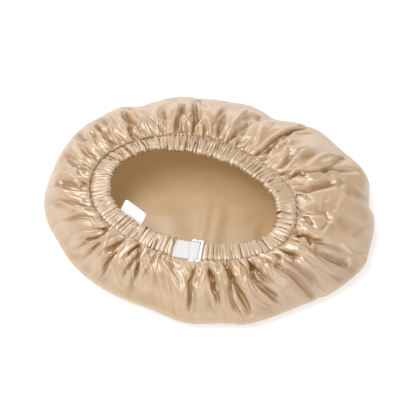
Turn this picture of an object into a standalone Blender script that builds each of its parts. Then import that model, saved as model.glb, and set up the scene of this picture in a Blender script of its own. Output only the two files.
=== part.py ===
"""A gathered satin sleep bonnet, lying on its crown with the opening upwards.

Metres, +Z up. The origin is on the surface that the bonnet lies on, under the middle of its outline.
-Y is the side with the adjuster. Angles are counted in plan from +X towards +Y, round the opening's centre.

The crown is one bag of cloth. Its meridian starts at the seam under the band, swells over the top,
turns down at the rim and comes back under as a flat floor. Folds run out from the seam to the rim.
The casing is a tunnel of gathered cloth round the opening, with a gap at the front. The elastic is a
ring inside the tunnel, and it crosses the gap in the open, woven through the slider.
"""

import math
from typing import NamedTuple

import bmesh
import bpy
from mathutils import Matrix, Vector

MM = 0.001

# Driving dimensions
CLOTH = 1.5 * MM  # crown wall: satin and its lining, sewn back to back
CLEARANCE = 0.45 * MM  # between pieces that touch
SEAM_HEIGHT = 48 * MM  # of the seam between crown and casing
SEAM_OVERHANG = 2.6 * MM  # from the seam line to the first gathers
PUFF_HEIGHT = 57 * MM  # of the swollen top of the crown, between folds
STEPS_PER_FOLD = 4  # columns of faces from one fold's crest to the next

CASING_LAYER = 1.0 * MM  # one layer of the casing's cloth
RUFFLE_DEPTH = 1.7 * MM  # how far the gathers stand off the casing
RUFFLES = 50
CASING_WIDTH = 22.3 * MM
CASING_EDGE = 1.4 * MM  # half the thickness of the stitched edge
CASING_LEAN = 0.5 * MM  # extra room at the seam where the casing stands steeply
GAP_START_DEG, GAP_END_DEG = 254.0, 277.6  # where the casing is open and the elastic shows

ELASTIC_WIDTH = 18.0 * MM
ELASTIC_THICKNESS = 1.1 * MM

SLIDER_RAIL = 2.0 * MM
SLIDER_LEFT_BAR, SLIDER_MIDDLE_BAR, SLIDER_RIGHT_BAR = 2.2 * MM, 1.8 * MM, 3.0 * MM
SLIDER_SLOT_LEFT, SLIDER_SLOT_RIGHT = 3.3 * MM, 2.7 * MM
SLIDER_TOP, SLIDER_BAR_BOTTOM = 2.8 * MM, 1.0 * MM  # above the elastic's middle plane
MIDDLE_BAR_TOP, SLIDER_BOTTOM = 1.4 * MM, 0.1 * MM
SLIDER_CORNER = 1.4 * MM
SLIDER_TO_CASING = 1.1 * MM

LABEL_LENGTH, LABEL_SHOWS, LABEL_TUCKED = 31 * MM, 14.5 * MM, 4.5 * MM
LABEL_THICKNESS = 0.8 * MM
LABEL_CORNER = 2.2 * MM
LABEL_BELOW = 0.1 * MM  # room for the band's curve over the label's length
LABEL_DEG = 206.0
LABEL_RISE_DEG = 43.0  # how steeply it stands in from the band


class RimRow(NamedTuple):
    """How far the crown's outline reaches from the opening's centre."""

    angle_deg: float
    reach: float


class BandRow(NamedTuple):
    """Where the band lies: its seam's reach, and how steeply it rises to its free edge."""

    angle_deg: float
    seam: float
    tilt_deg: float


class Station(NamedTuple):
    """A place on the meridian. share is 0 at the seam and 1 at the outline; facing is 90 upwards.

    inset is how far the place then lies back in, height is a share of the puff's, and fold is how much
    of the folds' depth is left there.
    """

    name: str
    share: float
    inset: float
    height: float
    facing_deg: float
    fold: float


class Fold(NamedTuple):
    """A fold's crest: where it starts at the seam, where it points at the rim, and how far it runs."""

    seam_deg: float
    rim_deg: float
    depth: float
    runs_to: float


RIM = [
    RimRow(0, 196.5), RimRow(15, 202.0), RimRow(30, 195.0), RimRow(45, 181.5), RimRow(60, 171.0),
    RimRow(75, 173.5), RimRow(90, 174.0), RimRow(105, 173.0), RimRow(120, 180.5), RimRow(135, 180.0),
    RimRow(150, 172.0), RimRow(165, 167.5), RimRow(180, 159.5), RimRow(195, 146.5), RimRow(210, 136.0),
    RimRow(225, 127.5), RimRow(240, 123.0), RimRow(255, 125.0), RimRow(270, 131.5), RimRow(285, 138.0),
    RimRow(300, 148.0), RimRow(315, 159.0), RimRow(330, 179.0), RimRow(345, 195.5),
]

BAND = [
    BandRow(0, 112.0, 0), BandRow(30, 96.0, 0), BandRow(60, 91.0, -6), BandRow(90, 95.0, -6),
    BandRow(120, 105.0, 12), BandRow(150, 116.5, 14), BandRow(180, 109.0, 5), BandRow(210, 89.5, 6),
    BandRow(240, 80.0, 12), BandRow(270, 80.5, 16), BandRow(300, 93.5, -2), BandRow(330, 114.0, -6),
]

MERIDIAN = [
    Station("seam", 0.00, 0.0, 0.84, 90, 0.00),
    Station("hem", 0.04, 0.0, 0.85, 90, 0.08),
    Station("gathers", 0.13, 0.0, 0.90, 95, 0.75),
    Station("swell", 0.30, 0.0, 0.97, 88, 1.00),
    Station("brow", 0.52, 0.0, 0.95, 78, 0.90),
    Station("slope", 0.77, 3.0, 0.84, 64, 0.68),
    Station("shoulder", 1.00, 7.5, 0.66, 45, 0.45),
    Station("outline", 1.00, 0.0, 0.36, 5, 0.20),
    Station("under", 1.00, 4.0, 0.13, -35, 0.06),
    Station("floor", 1.00, 18.0, 0.00, -90, 0.00),
]

FOLDS = [
    Fold(2, 3, 4.5, 0.60), Fold(11, 11, 5.5, 0.75), Fold(22, 21, 7.5, 0.95), Fold(29, 30, 6.0, 0.70),
    Fold(36, 38, 5.5, 0.60), Fold(46, 49, 7.0, 0.95), Fold(53, 56, 5.0, 0.40), Fold(59, 63, 4.5, 0.55),
    Fold(66, 70, 6.0, 0.75), Fold(72, 76, 4.5, 0.40), Fold(79, 83, 7.0, 0.85), Fold(85, 86, 4.0, 0.35),
    Fold(93, 90, 6.5, 0.95), Fold(101, 96, 5.5, 0.70), Fold(109, 103, 5.0, 0.75), Fold(116, 111, 4.5, 0.90),
    Fold(123, 119, 6.0, 0.45), Fold(130, 126, 7.0, 1.00), Fold(138, 131, 4.5, 0.50), Fold(147, 137, 7.0, 1.00),
    Fold(153, 144, 4.5, 0.45), Fold(160, 150, 6.0, 0.90), Fold(168, 158, 5.0, 0.60), Fold(176, 167, 6.0, 0.55),
    Fold(185, 176, 5.5, 0.70), Fold(193, 185, 5.5, 0.75), Fold(201, 196, 4.5, 0.60), Fold(209, 213, 8.5, 0.95),
    Fold(216, 223, 5.0, 0.55), Fold(222, 231, 7.5, 0.80), Fold(232, 244, 7.5, 0.90), Fold(240, 252, 5.5, 0.60),
    Fold(249, 261, 4.5, 0.90), Fold(262, 266, 2.5, 1.00), Fold(278, 276, 8.5, 1.00), Fold(287, 284, 7.5, 0.95),
    Fold(296, 296, 7.5, 0.95), Fold(302, 306, 5.5, 0.90), Fold(308, 314, 7.5, 0.85), Fold(316, 320, 5.5, 0.55),
    Fold(326, 326, 9.0, 0.85), Fold(334, 334, 6.5, 0.95), Fold(341, 341, 6.0, 0.70), Fold(347, 348, 4.5, 0.50),
    Fold(354, 355, 5.5, 0.50),
]


def column(rows, name, angle_deg):
    """A smooth curve through one column of a table whose rows go once round, read at an angle."""
    angle = angle_deg % 360
    count = len(rows)
    after = next((i for i, row in enumerate(rows) if row.angle_deg > angle), count)
    picked = [rows[(after + step) % count] for step in (-2, -1, 0, 1)]
    before, start, end, beyond = (getattr(row, name) for row in picked)
    span = (picked[2].angle_deg - picked[1].angle_deg) % 360
    t = (angle - picked[1].angle_deg) % 360 / span
    slope_in, slope_out = (end - before) / 2, (beyond - start) / 2
    return (
        (2 * t**3 - 3 * t**2 + 1) * start
        + (t**3 - 2 * t**2 + t) * slope_in
        + (3 * t**2 - 2 * t**3) * end
        + (t**3 - t**2) * slope_out
    )


def outwards(angle_deg):
    """The level direction at an angle round the opening's centre."""
    angle = math.radians(angle_deg)
    return Vector((math.cos(angle), math.sin(angle), 0))


def smooth(t):
    """0 below 0, 1 above 1, and an easy turn between."""
    t = min(1.0, max(0.0, t))
    return t * t * (3 - 2 * t)


def fold_angle(index, share):
    """Where a fold's crest lies at a share of the way out. Folds past the last one start again."""
    turns, row = divmod(index, len(FOLDS))
    fold = FOLDS[row]
    return 360 * turns + fold.seam_deg + (fold.rim_deg - fold.seam_deg) * smooth(share)


def fold_lift(index, phase, share):
    """How far the cloth stands off the meridian, phase of the way from one crest to the next."""
    fades = 0.18  # a fold dies out over this share of the way
    flat = 0.55  # of its depth, where it has died out
    near, far = FOLDS[index % len(FOLDS)], FOLDS[(index + 1) % len(FOLDS)]
    fold = near if phase < 0.5 else far
    depth = near.depth + (far.depth - near.depth) * smooth(phase)
    runs = 1 - smooth((share - fold.runs_to + fades) / (2 * fades))
    from_crest = 2 * min(phase, 1 - phase)
    profile = (1 - from_crest**2) ** 0.6
    return depth * (flat + (profile - flat) * runs) * MM


def crown_point(index, phase, station):
    """A point of the crown's outside, in a column between two crests, at a station of the meridian."""
    here, following = fold_angle(index, station.share), fold_angle(index + 1, station.share)
    angle = here + (following - here) * phase
    seam, rim = column(BAND, "seam", angle) * MM, column(RIM, "reach", angle) * MM
    facing = math.radians(station.facing_deg)
    lift = fold_lift(index, phase, station.share) * station.fold
    reach = seam + (rim - seam) * station.share - station.inset * MM + lift * math.cos(facing)
    height = PUFF_HEIGHT * station.height + lift * math.sin(facing)
    return outwards(angle) * reach + Vector((0, 0, height))


def crown_rows():
    """The crown's outside as rows of points, one row for each station, from the seam to the floor."""
    return [
        [
            crown_point(index, step / STEPS_PER_FOLD, station)
            for index in range(len(FOLDS))
            for step in range(STEPS_PER_FOLD)
        ]
        for station in MERIDIAN
    ]


def opening_centre(rows):
    """Where the opening's centre lies, with the middle of the crown's outline over the origin."""
    xs = [point.x for row in rows for point in row]
    ys = [point.y for row in rows for point in row]
    return -Vector((min(xs) + max(xs), min(ys) + max(ys), 0)) / 2


class BandFrame(NamedTuple):
    """The band at one angle: its outer edge, the way across it to the free edge, and off its face."""

    edge: Vector
    across: Vector
    off: Vector

    def point(self, across, off):
        """A point at a distance across the band and off its face."""
        return self.edge + self.across * across + self.off * off


def seam_point(angle_deg):
    """A point of the seam line."""
    reach = column(BAND, "seam", angle_deg) * MM
    return outwards(angle_deg) * reach + Vector((0, 0, SEAM_HEIGHT))


def band_frame(angle_deg):
    """The band's frame at an angle, square to the seam."""
    along = (seam_point(angle_deg + 0.5) - seam_point(angle_deg - 0.5)).normalized()
    tilt = math.radians(column(BAND, "tilt_deg", angle_deg))
    across = Vector((0, 0, 1)).cross(along) * math.cos(tilt) + Vector((0, 0, math.sin(tilt)))
    room = CLEARANCE + CASING_LEAN * abs(math.sin(tilt))
    return BandFrame(seam_point(angle_deg) + across * room, across, along.cross(across))


def new_material(name, colour, roughness, sheen=0.0):
    """A plain Principled material."""
    material = bpy.data.materials.new(name)
    material.use_nodes = True
    shader = material.node_tree.nodes["Principled BSDF"]
    shader.inputs["Base Color"].default_value = (*colour, 1)
    shader.inputs["Roughness"].default_value = roughness
    shader.inputs["Sheen Weight"].default_value = sheen
    return material


def new_object(name, bm, material, at):
    """Turns a bmesh into a shaded object at a place."""
    bmesh.ops.recalc_face_normals(bm, faces=bm.faces)
    mesh = bpy.data.meshes.new(name)
    bm.to_mesh(mesh)
    bm.free()
    mesh.materials.append(material)
    mesh.shade_smooth()
    mesh.set_sharp_from_angle(angle=math.radians(50))
    obj = bpy.data.objects.new(name, mesh)
    obj.location = at
    bpy.context.scene.collection.objects.link(obj)
    return obj


def loft(bm, rings, closed_on_itself):
    """Joins rings of points, each closed, into a skin. Without closing, the ends are capped."""
    loops = [[bm.verts.new(point) for point in ring] for ring in rings]
    pairs = zip(loops, loops[1:] + loops[:1]) if closed_on_itself else zip(loops, loops[1:])
    for first, second in pairs:
        for i in range(len(first)):
            j = (i + 1) % len(first)
            bm.faces.new((first[i], first[j], second[j], second[i]))
    return loops


def make_crown(rows, material, at):
    """The bag of cloth: the loft of the meridian's rows, a flat floor, and the cloth's thickness inwards."""
    bm = bmesh.new()
    loops = loft(bm, rows, closed_on_itself=False)
    bm.faces.new(loops[-1])
    crown = new_object("satin_crown", bm, material, at)
    wall = crown.modifiers.new("cloth", "SOLIDIFY")
    wall.thickness = CLOTH
    wall.offset = -1
    wall.use_even_offset = True
    return crown


def casing_angles():
    """The angles of the casing's sections, from one end of the gap round to the other."""
    arc = 360 - (GAP_END_DEG - GAP_START_DEG)
    steps = 2 * RUFFLES
    return [GAP_END_DEG + arc * i / steps for i in range(steps + 1)]


def casing_section(angle_deg, ruffle):
    """The casing's outside and its tunnel at an angle, as two rings of points. ruffle is 0 to 1."""
    frame = band_frame(angle_deg)
    half = ELASTIC_THICKNESS / 2 + CLEARANCE
    skin = half + CASING_LAYER
    swell = [(0.00, 0.0), (0.06, 0.3), (0.50, 1.0), (0.90, 0.6), (1.00, 0.1)]
    base = [CASING_EDGE, skin, skin, skin, skin]
    stretch = 1 + 0.05 * ruffle  # the free edge is scalloped
    upper, lower = [], []
    for (share, part), thickness in zip(swell, base):
        across = share * CASING_WIDTH * stretch
        upper.append(frame.point(across, thickness + RUFFLE_DEPTH * ruffle * part))
        lower.append(frame.point(across, -thickness - RUFFLE_DEPTH * (1 - ruffle) * part))
    near, far = CASING_LAYER, CASING_WIDTH - CASING_LAYER
    tunnel = [frame.point(a, b) for a, b in ((near, half), (far, half), (far, -half), (near, -half))]
    return upper + lower[::-1], tunnel


def make_casing(material, at):
    """The gathered tunnel round the opening, open at both ends of the gap in front."""
    sections = [
        casing_section(angle, (i % 2) * (0.75 + 0.25 * math.sin(1.9 * i)))
        for i, angle in enumerate(casing_angles())
    ]
    bm = bmesh.new()
    outside = loft(bm, [outer for outer, _ in sections], closed_on_itself=False)
    inside = loft(bm, [tunnel for _, tunnel in sections], closed_on_itself=False)
    tunnel_mouth(bm, outside[0], inside[0])
    tunnel_mouth(bm, outside[-1], inside[-1])
    return new_object("gathered_casing", bm, material, at)


def tunnel_mouth(bm, outer, inner):
    """The cloth's thickness at an end of the tunnel: a face over it, under it, and at each edge."""
    half = len(outer) // 2
    bm.faces.new(outer[:half] + [inner[1], inner[0]])
    bm.faces.new((outer[half - 1], outer[half], inner[2], inner[1]))
    bm.faces.new(outer[half:] + [inner[3], inner[2]])
    bm.faces.new((outer[-1], outer[0], inner[0], inner[3]))


class GapFrame(NamedTuple):
    """The straight stretch of elastic across the gap: its middle, its axes, and where the slider sits."""

    start: Vector
    end: Vector
    along: Vector
    across: Vector
    off: Vector
    slider: Vector


def band_middle(angle_deg):
    """The middle of the band at an angle."""
    return band_frame(angle_deg).point(CASING_WIDTH / 2, 0)


def gap_frame():
    """The frame of the elastic's open stretch."""
    start, end = band_middle(GAP_START_DEG), band_middle(GAP_END_DEG)
    along = (end - start).normalized()
    across = band_frame(GAP_START_DEG).across + band_frame(GAP_END_DEG).across
    across = (across - along * across.dot(along)).normalized()
    right_side = SLIDER_MIDDLE_BAR / 2 + SLIDER_SLOT_RIGHT + SLIDER_RIGHT_BAR
    slider = end - along * (SLIDER_TO_CASING + right_side)
    return GapFrame(start, end, along, across, along.cross(across), slider)


def weave_through_slider():
    """The elastic's path through the slider: distance along from the middle bar, and lift."""
    left_bar_edge = -SLIDER_MIDDLE_BAR / 2 - SLIDER_SLOT_LEFT
    right_bar_edge = SLIDER_MIDDLE_BAR / 2 + SLIDER_SLOT_RIGHT
    over = MIDDLE_BAR_TOP + CLEARANCE + ELASTIC_THICKNESS / 2
    shoulder = SLIDER_MIDDLE_BAR / 2 + 0.7 * MM
    return [
        (left_bar_edge - SLIDER_LEFT_BAR - 1.0 * MM, 0.0),
        (left_bar_edge + 0.3 * MM, 0.0),
        (-shoulder, over - 0.1 * MM),
        (0.0, over + 0.1 * MM),
        (shoulder, over - 0.1 * MM),
        (right_bar_edge - 0.3 * MM, 0.0),
        (right_bar_edge + SLIDER_RIGHT_BAR, 0.0),
    ]


def elastic_sections():
    """The elastic's rectangular sections, once round: through the casing, then across the gap."""
    half_width, half_thick = ELASTIC_WIDTH / 2, ELASTIC_THICKNESS / 2

    def section(middle, across, off):
        corners = ((-1, 1), (1, 1), (1, -1), (-1, -1))
        return [middle + across * half_width * a + off * half_thick * b for a, b in corners]

    sections = []
    for angle in casing_angles():
        frame = band_frame(angle)
        sections.append(section(band_middle(angle), frame.across, frame.off))
    gap = gap_frame()
    path = weave_through_slider()
    for i, (along, lift) in enumerate(path):
        before, after = path[max(i - 1, 0)], path[min(i + 1, len(path) - 1)]
        run, climb = after[0] - before[0], after[1] - before[1]
        lean = (gap.off * run - gap.along * climb).normalized()
        mitre = 1 / max(0.8, abs(math.cos(math.atan2(climb, run) / 2)))
        middle = gap.slider + gap.along * along + gap.off * lift
        sections.append(section(middle, gap.across, lean * mitre))
    return sections


def make_elastic(material, at):
    """The elastic ring."""
    bm = bmesh.new()
    loft(bm, elastic_sections(), closed_on_itself=True)
    return new_object("elastic_strap", bm, material, at)


def box(bm, low, high):
    """A box between two corners."""
    size = [b - a for a, b in zip(low, high)]
    middle = [(a + b) / 2 for a, b in zip(low, high)]
    made = bmesh.ops.create_cube(bm, size=1)
    bmesh.ops.scale(bm, vec=size, verts=made["verts"])
    bmesh.ops.translate(bm, vec=middle, verts=made["verts"])
    return made["verts"]


def helper(name, corners_low, corners_high):
    """A box that only cuts or adds to another object."""
    bm = bmesh.new()
    box(bm, corners_low, corners_high)
    mesh = bpy.data.meshes.new(name)
    bm.to_mesh(mesh)
    bm.free()
    obj = bpy.data.objects.new(name, mesh)
    obj.hide_render = True
    obj.display_type = "WIRE"
    bpy.context.scene.collection.objects.link(obj)
    return obj


def make_slider(material, at):
    """The slider: a frame with rounded corners and a lower middle bar, which the elastic goes over."""
    left = -SLIDER_MIDDLE_BAR / 2 - SLIDER_SLOT_LEFT - SLIDER_LEFT_BAR
    right = SLIDER_MIDDLE_BAR / 2 + SLIDER_SLOT_RIGHT + SLIDER_RIGHT_BAR
    window = ELASTIC_WIDTH / 2 + CLEARANCE
    reach = window + SLIDER_RAIL
    bm = bmesh.new()
    box(bm, (left, -reach, SLIDER_BOTTOM), (right, reach, SLIDER_TOP))
    uprights = [e for e in bm.edges if abs(e.verts[0].co.z - e.verts[1].co.z) > MM]
    bmesh.ops.bevel(bm, geom=uprights, offset=SLIDER_CORNER, segments=4, affect="EDGES", profile=0.5)
    gap = gap_frame()
    slider = new_object("slider_buckle", bm, material, at)
    turn = Matrix((gap.along, gap.across, gap.off)).transposed().to_4x4()
    slider.matrix_world = Matrix.Translation(at + gap.slider) @ turn
    past = 1 * MM  # so that a cutter runs out of the face
    windows = [
        ("slot_left", -SLIDER_MIDDLE_BAR / 2 - SLIDER_SLOT_LEFT, -SLIDER_MIDDLE_BAR / 2, SLIDER_BOTTOM - past, SLIDER_TOP + past),
        ("slot_right", SLIDER_MIDDLE_BAR / 2, SLIDER_MIDDLE_BAR / 2 + SLIDER_SLOT_RIGHT, SLIDER_BOTTOM - past, SLIDER_TOP + past),
        ("middle_bar_top", -SLIDER_MIDDLE_BAR, SLIDER_MIDDLE_BAR, MIDDLE_BAR_TOP, SLIDER_TOP + past),
        ("under_left_bar", left - past, -SLIDER_MIDDLE_BAR, SLIDER_BOTTOM - past, SLIDER_BAR_BOTTOM),
        ("under_right_bar", SLIDER_MIDDLE_BAR, right + past, SLIDER_BOTTOM - past, SLIDER_BAR_BOTTOM),
    ]
    for name, start, end, low, high in windows:
        cutter = helper(name, (start, -window, low), (end, window, high))
        cutter.parent = slider
        cut = slider.modifiers.new(name, "BOOLEAN")
        cut.operation = "DIFFERENCE"
        cut.object = cutter
    return slider


def make_label(material, at):
    """The blank label: tucked under the casing's free edge, then standing in over the opening."""
    frame = band_frame(LABEL_DEG)
    skin = ELASTIC_THICKNESS / 2 + CLEARANCE + CASING_LAYER + RUFFLE_DEPTH
    bend = frame.point(CASING_WIDTH * 1.05 + CLEARANCE, -skin - CLEARANCE - LABEL_BELOW)
    along = frame.across.cross(frame.off).normalized()
    level = Vector((0, 0, 1)).cross(along) * (-1 if frame.across.dot(Vector((0, 0, 1)).cross(along)) < 0 else 1)
    rise = math.radians(LABEL_RISE_DEG)
    up = level * math.cos(rise) + Vector((0, 0, math.sin(rise)))
    half = LABEL_LENGTH / 2
    straight = half - LABEL_CORNER
    corner = [math.radians(15 * i) for i in range(7)]
    rounded = [
        (straight + LABEL_CORNER * math.cos(a), LABEL_SHOWS - LABEL_CORNER + LABEL_CORNER * math.sin(a)) for a in corner
    ]
    shown = [(half, 0.0)] + rounded + [(-x, y) for x, y in rounded[::-1]] + [(-half, 0.0)]
    bm = bmesh.new()
    upper = [bm.verts.new(bend + along * x + up * y) for x, y in shown]
    bm.faces.new(upper)
    tucked = [bm.verts.new(bend + along * x - frame.across * LABEL_TUCKED) for x in (-half, half)]
    bm.faces.new((upper[-1], tucked[0], tucked[1], upper[0]))
    label = new_object("side_label", bm, material, at)
    if label.data.polygons[0].normal.z < 0:
        label.data.flip_normals()
    wall = label.modifiers.new("cloth", "SOLIDIFY")
    wall.thickness = LABEL_THICKNESS
    wall.offset = -1
    return label


def main():
    """Builds the bonnet."""
    for obj in list(bpy.data.objects):
        bpy.data.objects.remove(obj)
    satin = new_material("champagne_satin", (0.62, 0.47, 0.31), 0.32, sheen=0.3)
    webbing = new_material("white_elastic", (0.80, 0.78, 0.76), 0.75)
    plastic = new_material("white_plastic", (0.86, 0.85, 0.84), 0.30)
    ribbon = new_material("white_ribbon", (0.82, 0.80, 0.79), 0.55)
    rows = crown_rows()
    centre = opening_centre(rows)
    make_crown(rows, satin, centre)
    make_casing(satin, centre)
    make_elastic(webbing, centre)
    make_slider(plastic, centre)
    make_label(ribbon, centre)


main()
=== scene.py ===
"""Dresses the gathered satin sleep bonnet: its cloth, pleated casing, elastic, slider and label.

Metres, +Z up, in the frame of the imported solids. -Y is the side with the adjuster. Angles are counted
in plan from +X towards +Y, round the middle of the head opening.
"""

import logging
import math
import time
from contextlib import contextmanager
from dataclasses import dataclass
from enum import Enum
from typing import Callable, Iterable, Iterator, NamedTuple, Sequence

import bmesh
import bpy
import mathutils.geometry
import numpy as np
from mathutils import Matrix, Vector

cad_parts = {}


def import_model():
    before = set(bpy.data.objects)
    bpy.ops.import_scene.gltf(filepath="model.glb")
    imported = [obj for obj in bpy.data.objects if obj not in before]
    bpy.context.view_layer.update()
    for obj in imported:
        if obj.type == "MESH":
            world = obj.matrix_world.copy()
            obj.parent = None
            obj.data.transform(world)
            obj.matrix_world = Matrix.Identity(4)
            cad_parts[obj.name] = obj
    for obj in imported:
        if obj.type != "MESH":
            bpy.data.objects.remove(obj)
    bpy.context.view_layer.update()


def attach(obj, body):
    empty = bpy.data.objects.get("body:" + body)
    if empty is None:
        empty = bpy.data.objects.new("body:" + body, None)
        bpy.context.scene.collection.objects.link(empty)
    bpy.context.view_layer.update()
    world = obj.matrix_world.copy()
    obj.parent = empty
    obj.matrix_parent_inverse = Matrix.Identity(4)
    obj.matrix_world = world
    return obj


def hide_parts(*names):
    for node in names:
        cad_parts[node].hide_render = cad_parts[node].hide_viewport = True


MM = 0.001
PLAIN_WAVES = 22  # round the crown; more waves than these are folds
LOG = logging.getLogger("bonnet")


# ----------------------------------------------------------------------------------------------------
# Shader expressions


class Socket:
    """An output in a node tree that can be used in Python expressions."""

    def __init__(self, tree: bpy.types.NodeTree, link: bpy.types.NodeSocket) -> None:
        """Wraps a socket.

        Args:
            tree: the node tree that it is in.
            link: the output socket.
        """
        self.tree = tree
        self.link = link

    def _math(self, operation: str, *values: "Socket | float") -> "Socket":
        """Adds a Math node.

        Args:
            operation: the Math node's operation.
            values: its inputs, in order.

        Returns:
            The node's value.
        """
        return add_node(self.tree, "ShaderNodeMath", {"operation": operation}, dict(enumerate(values)))

    def __add__(self, other: "Socket | float") -> "Socket":
        """Sum."""
        return self._math("ADD", self, other)

    __radd__ = __add__

    def __sub__(self, other: "Socket | float") -> "Socket":
        """Difference."""
        return self._math("SUBTRACT", self, other)

    def __rsub__(self, other: "Socket | float") -> "Socket":
        """Difference from a number."""
        return self._math("SUBTRACT", other, self)

    def __mul__(self, other: "Socket | float") -> "Socket":
        """Product."""
        return self._math("MULTIPLY", self, other)

    __rmul__ = __mul__

    def __truediv__(self, other: "Socket | float") -> "Socket":
        """Quotient."""
        return self._math("DIVIDE", self, other)

    def sine(self) -> "Socket":
        """Sine."""
        return self._math("SINE", self)

    def ramp(self, low: float, high: float, to_low: float = 0.0, to_high: float = 1.0) -> "Socket":
        """Maps a range onto another, smoothly and clamped.

        Args:
            low: where the input range starts.
            high: where it ends.
            to_low: the value at low.
            to_high: the value at high.

        Returns:
            The mapped value.
        """
        settings = {"interpolation_type": "SMOOTHSTEP"}
        values = {0: self, 1: low, 2: high, 3: to_low, 4: to_high}
        return add_node(self.tree, "ShaderNodeMapRange", settings, values)


def add_node(
    tree: bpy.types.NodeTree,
    kind: str,
    settings: dict[str, object] | None = None,
    values: dict[int | str, object] | None = None,
    output: int | str = 0,
) -> Socket:
    """Adds a node, its settings first and then its inputs.

    Args:
        tree: the node tree.
        kind: the node's type name.
        settings: attributes such as an operation.
        values: an input's number or name, to a value or a Socket.
        output: the output to hand back.

    Returns:
        That output.
    """
    node = tree.nodes.new(kind)
    for name, value in (settings or {}).items():
        setattr(node, name, value)
    for name, value in (values or {}).items():
        if isinstance(value, Socket):
            tree.links.new(value.link, node.inputs[name])
        else:
            node.inputs[name].default_value = value
    return Socket(tree, node.outputs[output])


class Colour(NamedTuple):
    """A linear colour."""

    red: float
    green: float
    blue: float

    def rgba(self) -> tuple[float, float, float, float]:
        """The colour with full alpha."""
        return (self.red, self.green, self.blue, 1.0)


class Shading:
    """One material's node tree, with the Principled shader at its end."""

    def __init__(self, name: str, **constants: object) -> None:
        """Starts a material.

        Args:
            name: the material's name.
            constants: the shader's own values, by input name with underscores for spaces.
        """
        self.material = bpy.data.materials.new(name)
        self.material.use_nodes = True
        self.tree = self.material.node_tree
        self.shader = self.tree.nodes["Principled BSDF"]
        for key, value in constants.items():
            self.shader.inputs[key.replace("_", " ")].default_value = value

    def node(
        self,
        kind: str,
        settings: dict[str, object] | None = None,
        values: dict[int | str, object] | None = None,
        output: int | str = 0,
    ) -> Socket:
        """Adds a node to this tree; see add_node."""
        return add_node(self.tree, kind, settings, values, output)

    def feed(self, name: str, value: Socket) -> None:
        """Links a varying value to one of the shader's inputs."""
        self.tree.links.new(value.link, self.shader.inputs[name])

    def place(self) -> Socket:
        """Object coordinates."""
        return self.node("ShaderNodeTexCoord", output="Object")

    def along(self, name: str) -> Socket:
        """A number stored at the mesh's vertices."""
        return self.node("ShaderNodeAttribute", {"attribute_name": name}, output="Fac")

    def vector(self, x: Socket, y: Socket) -> Socket:
        """Two numbers as a place."""
        return self.node("ShaderNodeCombineXYZ", values={0: x, 1: y})

    def noise(self, where: Socket, scale: float, detail: float = 3.0, rough: float = 0.5) -> Socket:
        """Noise from 0 to 1.

        Args:
            where: coordinates.
            scale: features per metre.
            detail: octaves.
            rough: their falloff.

        Returns:
            The noise's value.
        """
        values = {"Vector": where, "Scale": scale, "Detail": detail, "Roughness": rough}
        return self.node("ShaderNodeTexNoise", {"noise_dimensions": "3D"}, values, "Fac")

    def blend(self, share: Socket, first: Colour, second: Colour) -> Socket:
        """Mixes two colours."""
        values = {0: share, 6: first.rgba(), 7: second.rgba()}
        return self.node("ShaderNodeMix", {"data_type": "RGBA"}, values, 2)

    def let_light_through(self, share: float, colour: Colour) -> None:
        """Makes the cloth thin: a share of the light that falls on one side leaves by the other.

        Args:
            share: the share.
            colour: the light's colour after the cloth.
        """
        through = self.node("ShaderNodeBsdfTranslucent", values={"Color": colour.rgba()})
        own = Socket(self.tree, self.shader.outputs[0])
        mixed = self.node("ShaderNodeMixShader", values={0: share, 1: own, 2: through})
        self.tree.links.new(mixed.link, self.tree.nodes["Material Output"].inputs["Surface"])

    def bump(self, height: Socket, distance: float, strength: float = 1.0) -> None:
        """Feeds the normal from a height.

        Args:
            height: 0 to 1.
            distance: metres of relief at 1.
            strength: the bump's weight.
        """
        values = {"Strength": strength, "Distance": distance, "Height": height}
        self.feed("Normal", self.node("ShaderNodeBump", values=values))


# ----------------------------------------------------------------------------------------------------
# Finishes


@dataclass(frozen=True)
class SatinFinish:
    """Champagne satin: bright floats of yarn, thin enough to let some light through, with painted shade in
    its folds' hollows.
    """

    name: str = "champagne_satin_cloth"
    colour: Colour = Colour(0.56, 0.385, 0.215)
    crease_shade: Colour = Colour(0.30, 0.155, 0.04)
    through: Colour = Colour(0.78, 0.55, 0.28)
    thin: float = 0.18
    roughness: float = 0.45
    gloss: float = 0.6
    coat: float = 1.0
    coat_roughness: float = 0.35
    coat_ior: float = 2.3
    yarn: float = 0.5 * MM
    float_length: float = 9 * MM

    def make(self) -> bpy.types.Material:
        """Builds the material."""
        s = Shading(
            self.name,
            Specular_IOR_Level=self.gloss,
            Coat_Weight=self.coat,
            Coat_Roughness=self.coat_roughness,
            Coat_IOR=self.coat_ior,
        )
        cloudy = s.noise(s.place(), 35.0, 2.0)
        cloth = s.vector(s.along("warp") / self.float_length, s.along("weft") / self.yarn)
        yarns = s.noise(cloth, 1.0, 1.0)
        # Painted shade: hollow is 1 where the relief attribute says the cloth lies in a fold's hollow, and
        # there the colour turns to the dark brown; shade also holds random cloudiness and the yarns' pattern.
        hollow = s.along("relief").ramp(0.1, -0.8)
        shade = cloudy.ramp(0.3, 0.7) * 0.16 + yarns.ramp(0.3, 0.7) * 0.14 + hollow
        s.feed("Base Color", s.blend(shade, self.colour, self.crease_shade))
        s.feed("Roughness", yarns.ramp(0.2, 0.8, self.roughness - 0.06, self.roughness + 0.06))
        s.let_light_through(self.thin, self.through)
        return s.material


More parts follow.
